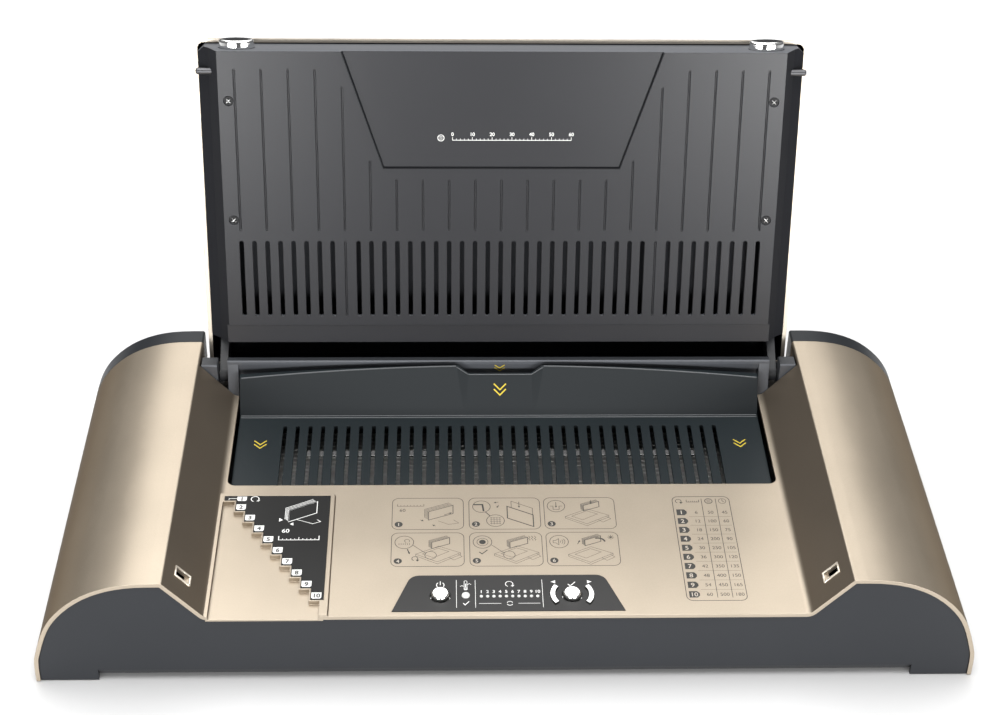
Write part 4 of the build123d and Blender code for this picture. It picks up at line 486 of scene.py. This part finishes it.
ink_turn(deck_print, x + 13.6, y + 6.6, 1.7, 0.4)
x, y = frame_places[4]
ink_patch(deck_print, arc(x + 7.4, y + 20.6, 1.9, 0, 360)[:-1])
ink_ring(deck_print, x + 7.4, y + 20.6, 3.2, 0.28)
ink_line(deck_print, [(x + 5.4, y + 12.0), (x + 7.0, y + 10.4), (x + 10.2, y + 13.8)], 0.6)
for n in range(3):
    wave = [(x + 34.6 + 1.7 * n + 0.5 * math.sin(t * 1.6), y + 21.8 + t * 0.55) for t in range(8)]
    ink_line(deck_print, wave, 0.25)
x, y = frame_places[5]
ink_ring(deck_print, x + 7.4, y + 20.6, 5.4, 0.35)
horn = [(x + 4.0, y + 19.6), (x + 5.4, y + 19.6), (x + 7.2, y + 18.0)]
horn += [(x + 7.2, y + 23.2), (x + 5.4, y + 21.6), (x + 4.0, y + 21.6)]
ink_line(deck_print, horn, 0.3, True)
for n in (1, 2, 3):
    ink_line(deck_print, arc(x + 7.2, y + 20.6, 1.2 * n, -42, 42), 0.28)
draw_machine(deck_print, x + 24.6, y + 10.4, 0.95)
draw_book(deck_print, x + 27.0, y + 19.6, 0.78)
ink_line(deck_print, arc(x + 30.0, y + 19.4, 4.2, 15, 110), 1.0)
draw_arrow(deck_print, x + 18.0, y + 18.4, 1.6, 3.4, 0.4)
for n in range(4):
    turn = math.radians(45 * n)
    u, v = 1.9 * math.cos(turn), 1.9 * math.sin(turn)
    ink_line(deck_print, [(x + 37.6 - u, y + 24.2 - v), (x + 37.6 + u, y + 24.2 + v)], 0.3)

# Table of figures beside the pictures: ten rows with a number tag and three plain figures each,
# screen-printed in the same grey as the pictures.
table_top, row_deep = 86.3, 7.8
ink_line(deck_print, round_frame(100.0, 11.0, 134.0, 100.5, 3.6), 0.4, True)
for x in (117.4, 125.9):
    ink_line(deck_print, [(x, 13.4), (x, 98.6)], 0.35)
for n in range(10):
    y = table_top - row_deep * n
    tag = [(101.6, y + 2.6), (106.2, y + 2.6), (107.6, y + 0.9)]
    tag += [(107.6, y - 0.9), (106.2, y - 2.6), (101.6, y - 2.6)]
    ink_patch(deck_print, tag)
    ink_number(badge_figures, str(n + 1), 104.4, y, 3.2, 0.02)
    for place, figure in ((113.2, 6 * (n + 1)), (121.7, 50 * (n + 1)), (130.1, 30 + 15 * (n + 1))):
        ink_number(deck_print, str(figure), place, y, 2.6)
    if n < 9:
        ink_line(deck_print, [(108.6, y - row_deep / 2), (133.0, y - row_deep / 2)], 0.15)
ink_turn(deck_print, 103.6, 96.4, 1.7, 0.35)
ink_line(deck_print, [(108.4, 97.6), (108.4, 95.6), (115.8, 95.6), (115.8, 97.6)], 0.35)
for n in range(1, 6):
    ink_line(deck_print, [(108.4 + 1.23 * n, 95.6), (108.4 + 1.23 * n, 96.6)], 0.25)
ink_ring(deck_print, 121.6, 96.4, 2.2, 0.45)
for n in range(3):
    ink_line(deck_print, [(120.4, 95.4 + n), (122.8, 95.4 + n)], 0.3)
ink_ring(deck_print, 129.8, 96.4, 2.2, 0.3)
ink_line(deck_print, [(129.8, 98.0), (129.8, 96.4), (130.9, 95.7)], 0.35)
lay_ink("deck_print", deck_print, on_level(deck_top, 0.02), grey_ink, "base")
pale_ink = surface("pale_ink", (0.5, 0.45, 0.38), 0.5, 2500.0, 0.00001, 0.05)
lay_ink("badge_figures", badge_figures, on_level(deck_top, 0.04), pale_ink, "base")

# Control fascia: a grey trapezoid plate with the button wells, printed in white with plain signs
# and a row of figures over the ten level lights.
fascia_plastic = surface("fascia_plastic", (0.027, 0.0265, 0.026), 0.42, 1800.0, 0.00001, gloss=0.35)
finish_nodes(fascia_plastic, "control_fascia")
signs = bmesh.new()
ink_line(signs, arc(-37.9, 24.4, 2.15, 125, 415), 0.5)
ink_line(signs, [(-37.9, 24.4), (-37.9, 27.4)], 0.5)
for x in (-28.9, -18.3, 19.3):
    ink_line(signs, [(x, 6.0), (x, 28.4)], 0.28)
ink_patch(signs, arc(-23.7, 21.2, 1.15, 0, 360)[:-1])
ink_line(signs, round_frame(-24.5, 21.2, -22.9, 27.8, 0.79), 0.3, True)
ink_line(signs, [(-23.7, 21.2), (-23.7, 25.4)], 0.5)
ink_line(signs, [(-26.8, 23.0), (-25.8, 23.9), (-24.8, 23.0)], 0.3)
ink_line(signs, [(-22.6, 24.6), (-21.6, 25.5), (-20.6, 24.6)], 0.3)
ink_line(signs, [(-25.2, 9.6), (-24.1, 8.2), (-21.9, 11.0)], 0.55)
ink_turn(signs, 0.8, 25.0, 2.1, 0.42)
for n in range(10):
    ink_number(signs, str(n + 1), -15.0 + 3.5 * n, 18.9, 2.3, 0.025)
ink_line(signs, [(-16.4, 9.3), (-4.0, 9.3)], 0.3)
ink_line(signs, [(5.6, 9.3), (17.8, 9.3)], 0.3)
ink_line(signs, arc(0.8, 9.3, 1.6, 20, 160), 0.45)
ink_line(signs, arc(0.8, 9.3, 1.6, 200, 340), 0.45)
ink_line(signs, [(33.8, 24.6), (35.2, 23.2), (38.0, 26.4)], 0.6)
ink_patch(signs, [(24.2, 26.6), (26.8, 27.8), (26.8, 25.2)])
ink_patch(signs, [(47.4, 26.6), (44.8, 27.8), (44.8, 25.2)])
fascia_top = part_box("control_fascia")[1].z
lay_ink("fascia_signs", signs, on_level(fascia_top, 0.02), white_ink, "base")

# Push buttons and latch releases: moulded caps plated in bright chrome. The push buttons ride in
# the wells of the fascia, the releases in the top edge of the lid.
chrome = surface("chrome_plate", (0.83, 0.83, 0.82), 0.09, 300.0, 0.0, 0.02, 1.0, 0.0003)
finish_nodes(chrome, "power_button", "select_button", "arrow_left_button", "arrow_right_button")
finish_nodes(chrome, "release_button_left", "release_button_right")

# Lenses: short clear light pipes, milky at the top, pressed into the fascia from below over the
# lamps of the control board.
lens_plastic = surface("lens_plastic", (0.86, 0.86, 0.83), 0.3, 2500.0, 0.00001, 0.03)
lens_plastic.node_tree.nodes["Principled BSDF"].inputs["Transmission Weight"].default_value = 0.25
finish_nodes(lens_plastic, "status_lens", "level_lenses")

# Control board, power board and their parts: green boards, black switches, buzzer and sensor.
board_green = surface("board_green", (0.02, 0.11, 0.05), 0.4, 2600.0, 0.00002)
part_black = surface("part_black", (0.016, 0.016, 0.017), 0.45, 2000.0, 0.00002)
winding = surface("winding_tape", (0.22, 0.15, 0.05), 0.5, 800.0, 0.0001, 0.2)
finish_nodes(board_green, "control_board", "power_board")
finish_nodes(part_black, "tact_switches", "buzzer", "position_sensor", "shaft_brackets", "mains_inlet")
finish_nodes(winding, "transformer")

# Heater: an aluminium plate with fine cast grooves on a folded steel tray, a mica element
# between them, and white ceramic posts below.
cast_aluminium = surface("cast_aluminium", (0.62, 0.62, 0.61), 0.38, 2400.0, 0.00003, 0.08, 0.95)
bright_steel = surface("bright_steel", (0.58, 0.58, 0.57), 0.26, 2800.0, 0.00001, 0.08, 1.0, 0.0002)
zinc_plate = surface("zinc_plate", (0.42, 0.43, 0.44), 0.4, 900.0, 0.00002, 0.18, 0.9)
ceramic = surface("ceramic", (0.7, 0.68, 0.62), 0.5, 2200.0, 0.00003)
finish_nodes(cast_aluminium, "heater_plate")
finish_nodes(zinc_plate, "heater_tray", "rod_brackets", "latch_frames", "temperature_sensor")
finish_nodes(ceramic, "heater_element", "heater_insulators", "indicator_leds")

# Guide rods, synchronising shaft and their white gears, racks and bushes under the carriage.
acetal = surface("white_acetal", (0.66, 0.66, 0.63), 0.4, 2400.0, 0.00002)
finish_nodes(bright_steel, "guide_rods", "sync_shaft", "stiffener_strip", "hinge_pins", "thermal_fuse")
finish_nodes(acetal, "pinions", "gear_racks", "rod_bushes", "hinge_bushes")


# Return springs and latch springs: bright spring wire wound into open coils. The two long ones
# draw the carriage back and stretch as it moves, though here they are fixed coils; the two short
# ones push the latch pins out of the lid.
spring_steel = surface("spring_steel", (0.45, 0.45, 0.44), 0.3, 2800.0, 0.00001, 0.1, 1.0, 0.0001)


def wind(name, runs, r, wire, turns):
    """Wire wound along straight runs, each from a start to an end."""
    line = bpy.data.curves.new(name, "CURVE")
    line.dimensions = "3D"
    line.bevel_depth = wire / 2
    line.bevel_resolution = 2
    line.use_fill_caps = True
    corners = 14
    steps = corners * turns
    for start, end in runs:
        way = end - start
        side = way.orthogonal().normalized()
        up = way.cross(side).normalized()
        coil = line.splines.new("POLY")
        coil.points.add(steps)
        for n, point in enumerate(coil.points):
            angle = math.tau * n / corners
            place = start + way * (n / steps)
            place += (side * math.cos(angle) + up * math.sin(angle)) * (r - wire / 2)
            point.co = (*place, 1.0)
    holder = bpy.data.objects.new(name, line)
    scene.collection.objects.link(holder)
    view = bpy.context.evaluated_depsgraph_get()
    mesh = bpy.data.meshes.new_from_object(holder.evaluated_get(view))
    bpy.data.objects.remove(holder)
    bpy.data.curves.remove(line)
    mesh.materials.clear()
    mesh.materials.append(spring_steel)
    piece = bpy.data.objects.new(name, mesh)
    scene.collection.objects.link(piece)
    return piece


wire = 0.0006
low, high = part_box("return_springs")
spring_r = (high.z - low.z) / 2
spring_z = (high.z + low.z) / 2
runs = []
for x in (low.x + spring_r, high.x - spring_r):
    runs.append((Vector((x, high.y - wire, spring_z)), Vector((x, low.y + wire, spring_z))))
return_coils = wind("return_coils", runs, spring_r, wire, 72)
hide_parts("return_springs")
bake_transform(return_coils)
for side in ("left", "right"):
    low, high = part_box("latch_spring_" + side)
    middle = (low + high) / 2
    still, moving = (high.x, low.x) if side == "left" else (low.x, high.x)
    inset = math.copysign(wire / 2, moving - still)
    run = (Vector((still + inset, middle.y, middle.z)), Vector((moving - inset, middle.y, middle.z)))
    latch_coil = wind("latch_coil_" + side, [run], 0.0024, wire, 6)
    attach(latch_coil, "lid")
    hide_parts("latch_spring_" + side)
    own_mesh(latch_coil)

# Carriage: a heat-resistant moulding in green-black, with a fine texture, and beads along its crease,
# along the top of its flap and round its notch in a much lighter grey: painted highlight on these
# edges.
grille_plastic = surface("grille_plastic", (0.0085, 0.0135, 0.016), 0.42, 1200.0, 0.00003, gloss=0.32)
# Painted highlight: the beads are far lighter than the carriage, so its edges read as bright lines.
highlight_bead_plastic = surface("highlight_bead_plastic", (0.075, 0.08, 0.085), 0.28, 1800.0, 0.00001)
# Painted shade: the faces toward the front get a darker colour, with a rougher finish.
painted_shade_flap = reach(grille_plastic, "Normal", Vector((0, -1, 0)), 0.4, 0.55)
second_coat(grille_plastic, painted_shade_flap, (0.006, 0.009, 0.011), 0.62)
finish_nodes(grille_plastic, "carriage")


def bead(name, paths, r, material, body):
    """Thin round beads, each along points in millimetres."""
    line = bpy.data.curves.new(name, "CURVE")
    line.dimensions = "3D"
    line.bevel_depth = r / 1000
    line.bevel_resolution = 3
    line.use_fill_caps = True
    for path in paths:
        run = line.splines.new("POLY")
        run.points.add(len(path) - 1)
        for point, (x, y, z) in zip(run.points, path):
            point.co = (x / 1000, front + y / 1000, z / 1000, 1.0)
    line.materials.append(material)
    piece = bpy.data.objects.new(name, line)
    scene.collection.objects.link(piece)
    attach(piece, body)


crease = [[(-163.0, y, 43.55), (163.0, y, 43.55)] for y in (185.1, 186.9)]
bead("crease_bead", crease, 0.38, highlight_bead_plastic, "carriage")
flap_half, flap_bow, flap_top, notch_end, flap_end = 163.6, 7.0, 72.0, 27.6, 162.6
flap_foot_y, flap_foot_z, flap_lean, bead_set = 187.0, 43.5, 0.5116, 0.25
flap_arc_r = (flap_half**2 + flap_bow**2) / (2 * flap_bow)
flap_edges = []
for hand in (-1, 1):
    edge = []
    for n in range(25):
        x = notch_end + (flap_end - notch_end) * n / 24
        z = flap_top - flap_arc_r + math.sqrt(flap_arc_r**2 - x**2) - bead_set
        edge.append((hand * x, flap_foot_y + (z - flap_foot_z) * flap_lean + bead_set, z))
    flap_edges.append(edge)
bead("flap_bead", flap_edges, 0.5, highlight_bead_plastic, "carriage")
notch_half = [(19.0, 200.8, 65.6), (20.4, 200.8, 65.9), (27.3, 201.0, 71.3)]
notch_edge = [(-x, y, z) for x, y, z in notch_half[::-1]] + notch_half
bead("notch_bead", [notch_edge], 0.4, highlight_bead_plastic, "carriage")

# Insert marks: yellow double chevrons printed where a document goes in: on the rear wall, in the
# notch of the flap and at both ends of the grille.
yellow_ink = surface("yellow_ink", (0.55, 0.42, 0.03), 0.5, 2500.0, 0.00001, 0.05)


def chevrons(size):
    """Two chevrons that point down, one above the other about the middle."""
    ink = bmesh.new()
    for shift in (-0.22, 0.22):
        top, tip = (0.3 + shift) * size, (-0.2 + shift) * size
        ink_line(ink, [(-0.5 * size, top), (0, tip), (0.5 * size, top)], 0.11 * size)
    return ink


def leaning(x0, y0, z0, rise_y, rise_z, lift):
    """Place on a face that climbs by (rise_y, rise_z) for each millimetre up the print."""

    def place(u, v):
        y = y0 + v * rise_y - lift * rise_z
        z = z0 + v * rise_z + lift * rise_y
        return Vector(((x0 + u) / 1000, front + y / 1000, z / 1000))

    return place


wall_run = math.hypot(2.1, 7.8)
on_wall = leaning(0, 207.75, 65.4, -2.1 / wall_run, 7.8 / wall_run, 0.04)
lay_ink("insert_mark_wall", chevrons(6.4), on_wall, yellow_ink, "base")
notch_run = math.hypot(13.9, 22.2)
on_notch = leaning(0, 195.6, 57.3, 13.9 / notch_run, 22.2 / notch_run, 0.5)
lay_ink("insert_mark_notch", chevrons(7.6), on_notch, yellow_ink, "carriage")
for hand, name in ((-1, "insert_mark_left"), (1, "insert_mark_right")):
    on_grille = leaning(hand * 149.0, 158.6, 43.02, 1.0, 0.01745, 0.04)
    lay_ink(name, chevrons(7.6), on_grille, yellow_ink, "carriage")

# Latch sockets: moulded rims round the square holes in both slopes that take the latch pins, in a
# paint far lighter than the cover: painted highlight on their edges.
highlight_rim_paint = surface("highlight_rim_paint", (0.72, 0.66, 0.56), 0.3, 1700.0, 0.00002, 0.05, 0.5)
rims = []
for hand in (-1, 1):
    corners = ((14.3, 59.3), (21.3, 59.3), (21.3, 67.4), (14.3, 67.4), (14.3, 59.3))
    rims.append([(hand * (167.5 + (z - 49.0) * 21.7 / 24.8), y, z) for y, z in corners])
bead("socket_rims", rims, 0.75, highlight_rim_paint, "base")

# Lid outer shell: the champagne back of the lid. Only its outside is sprayed; inside the bare
# dark plastic shows behind the vents and below the face.
lean = math.radians(12.63)
face_out = Vector((0.0, -math.cos(lean), math.sin(lean)))
up_lid = Vector((0.0, math.sin(lean), math.cos(lean)))
hinge = Vector((0.0, front + 0.213, 0.0584))
lid_foot = hinge - up_lid * 0.0135 - face_out * 0.0149


def overlap(material, first, second):
    """Mask of where two masks of a surface both hold."""
    both = material.node_tree.nodes.new("ShaderNodeMath")
    both.operation = "MULTIPLY"
    material.node_tree.links.new(first, both.inputs[0])
    material.node_tree.links.new(second, both.inputs[1])
    return both.outputs[0]


shell_paint = surface("shell_paint", (0.53, 0.475, 0.4), 0.4, 1700.0, 0.000025, 0.05, 0.85)
inward = reach(shell_paint, "Normal", face_out, 0.07, 0.09)
face_level = lid_foot.dot(face_out) - 0.0004
under_face = reach(shell_paint, "Object", face_out, face_level, face_level - 0.0001)
second_coat(shell_paint, overlap(shell_paint, inward, under_face), (0.02, 0.021, 0.024))
finish_nodes(shell_paint, "lid_outer_shell")

# Lid inner cover: smooth satin charcoal moulding with vents and grooves. The sunk field at its
# top carries only a plain printed ruler.
lid_plastic = surface("lid_plastic", (0.007, 0.0075, 0.0105), 0.3, 1500.0, 0.000012, gloss=0.38)
# Painted shade: faces that turn away from the front, the bevels and groove walls, get a darker colour, with a
# rougher finish.
painted_shade_turned = reach(lid_plastic, "Normal", face_out, 0.85, 0.8)
not_top = reach(lid_plastic, "Normal", up_lid, 0.55, 0.5)
second_coat(lid_plastic, overlap(lid_plastic, painted_shade_turned, not_top), (0.003, 0.0035, 0.006), 0.95)
# Painted reflection: faces toward the top of the lid get a far lighter colour, as if catching the sky.
painted_sky_top = reach(lid_plastic, "Normal", up_lid, 0.5, 0.7)
second_coat(lid_plastic, painted_sky_top, (0.1, 0.105, 0.115), 0.5)
finish_nodes(lid_plastic, "lid_inner_cover")
finish_nodes(black_moulding, "hinge_brackets")
pin_steel = surface("pin_steel", (0.1, 0.1, 0.105), 0.4, 2800.0, 0.00001, 0.1, 0.9, 0.0002)
finish_nodes(pin_steel, "latch_pin_left", "latch_pin_right")
screw_black = surface("screw_black", (0.006, 0.006, 0.007), 0.4, 2000.0, 0.00001, gloss=0.25)
finish_nodes(screw_black, "lid_screws")


def on_lid(out):
    """Place on the open lid: across, up the lid and out of its face."""

    def place(x, s):
        return lid_foot + Vector((x / 1000, 0, 0)) + up_lid * (s / 1000) + face_out * (out / 1000)

    return place


def along_lid(x, s, out):
    """Point of the open lid, in the millimetres that a bead takes."""
    place = on_lid(out)(x, s) * 1000
    return (place.x, place.y - front * 1000, place.z)


# Ribs in the long grooves of the face and along the edge of the sunk field, moulded with the cover.
# The grooves run up to the field's slanted edge in the middle and end higher at the sides.
groove_floor, groove_start = 17.3, 111.2
groove_ribs = [[along_lid(x, 54.6, groove_floor), along_lid(x, 102.6, groove_floor)] for x in (-96.0, 96.0)]
for n in range(21):
    x = -160.0 + 16.0 * n
    if abs(x) < 73:
        groove_end = 143.7
    elif abs(x) < 81:
        groove_end = 155.8
    elif abs(x) < 97:
        groove_end = 201.8
    else:
        groove_end = 212.3
    ends = (groove_start, groove_end - 1.2)
    groove_ribs.append([along_lid(x, s, groove_floor) for s in ends])
bead("groove_ribs", groove_ribs, 0.42, lid_plastic, "lid")
# Painted shade: the rib along the field's edge is darker and duller than the cover, a dark line round the
# field.
shade_edge_plastic = surface("shade_edge_plastic", (0.004, 0.0045, 0.006), 0.6, 1500.0, 0.00001, gloss=0.2)
field_edge = [(-96.0, 222.4), (-72.0, 150.5), (72.0, 150.5), (96.0, 222.4)]
bead("field_edge", [[along_lid(x, s, 17.5) for x, s in field_edge]], 0.65, shade_edge_plastic, "lid")

# Crosses of the four black screws that hold the cover, as thin beads of bright steel.
crosses = []
cross_half, screw_top = 1.1, 17.85
for x in (-164.0, 164.0):
    for s in (117.1, 192.4):
        for v in (cross_half, -cross_half):
            ends = [(x - cross_half, s - v), (x + cross_half, s + v)]
            crosses.append([along_lid(u, w, screw_top) for u, w in ends])
bead("screw_crosses", crosses, 0.3, bright_steel, "lid")

# Ruler printed in white in the sunk field: a plain scale of figures beside a small round sign.
ruler = bmesh.new()
ruler_left, ruler_low, ruler_tick = -30.0, 168.0, 2.4
ink_ring(ruler, -37.0, 169.4, 1.9, 0.4)
for n in range(3):
    ink_line(ruler, [(-38.0, 168.6 + 0.8 * n), (-36.0, 168.6 + 0.8 * n)], 0.25)
ink_line(ruler, [(ruler_left, ruler_low), (ruler_left + 30 * ruler_tick, ruler_low)], 0.35)
for n in range(31):
    tick_x, tall = ruler_left + ruler_tick * n, 1.9 if n % 5 == 0 else 1.0
    ink_line(ruler, [(tick_x, ruler_low), (tick_x, ruler_low + tall)], 0.3)
for n in range(7):
    ink_number(ruler, str(10 * n), ruler_left + 5 * ruler_tick * n, 171.8, 2.2, 0.02)
lay_ink("lid_ruler", ruler, on_lid(16.64), white_ink, "lid")
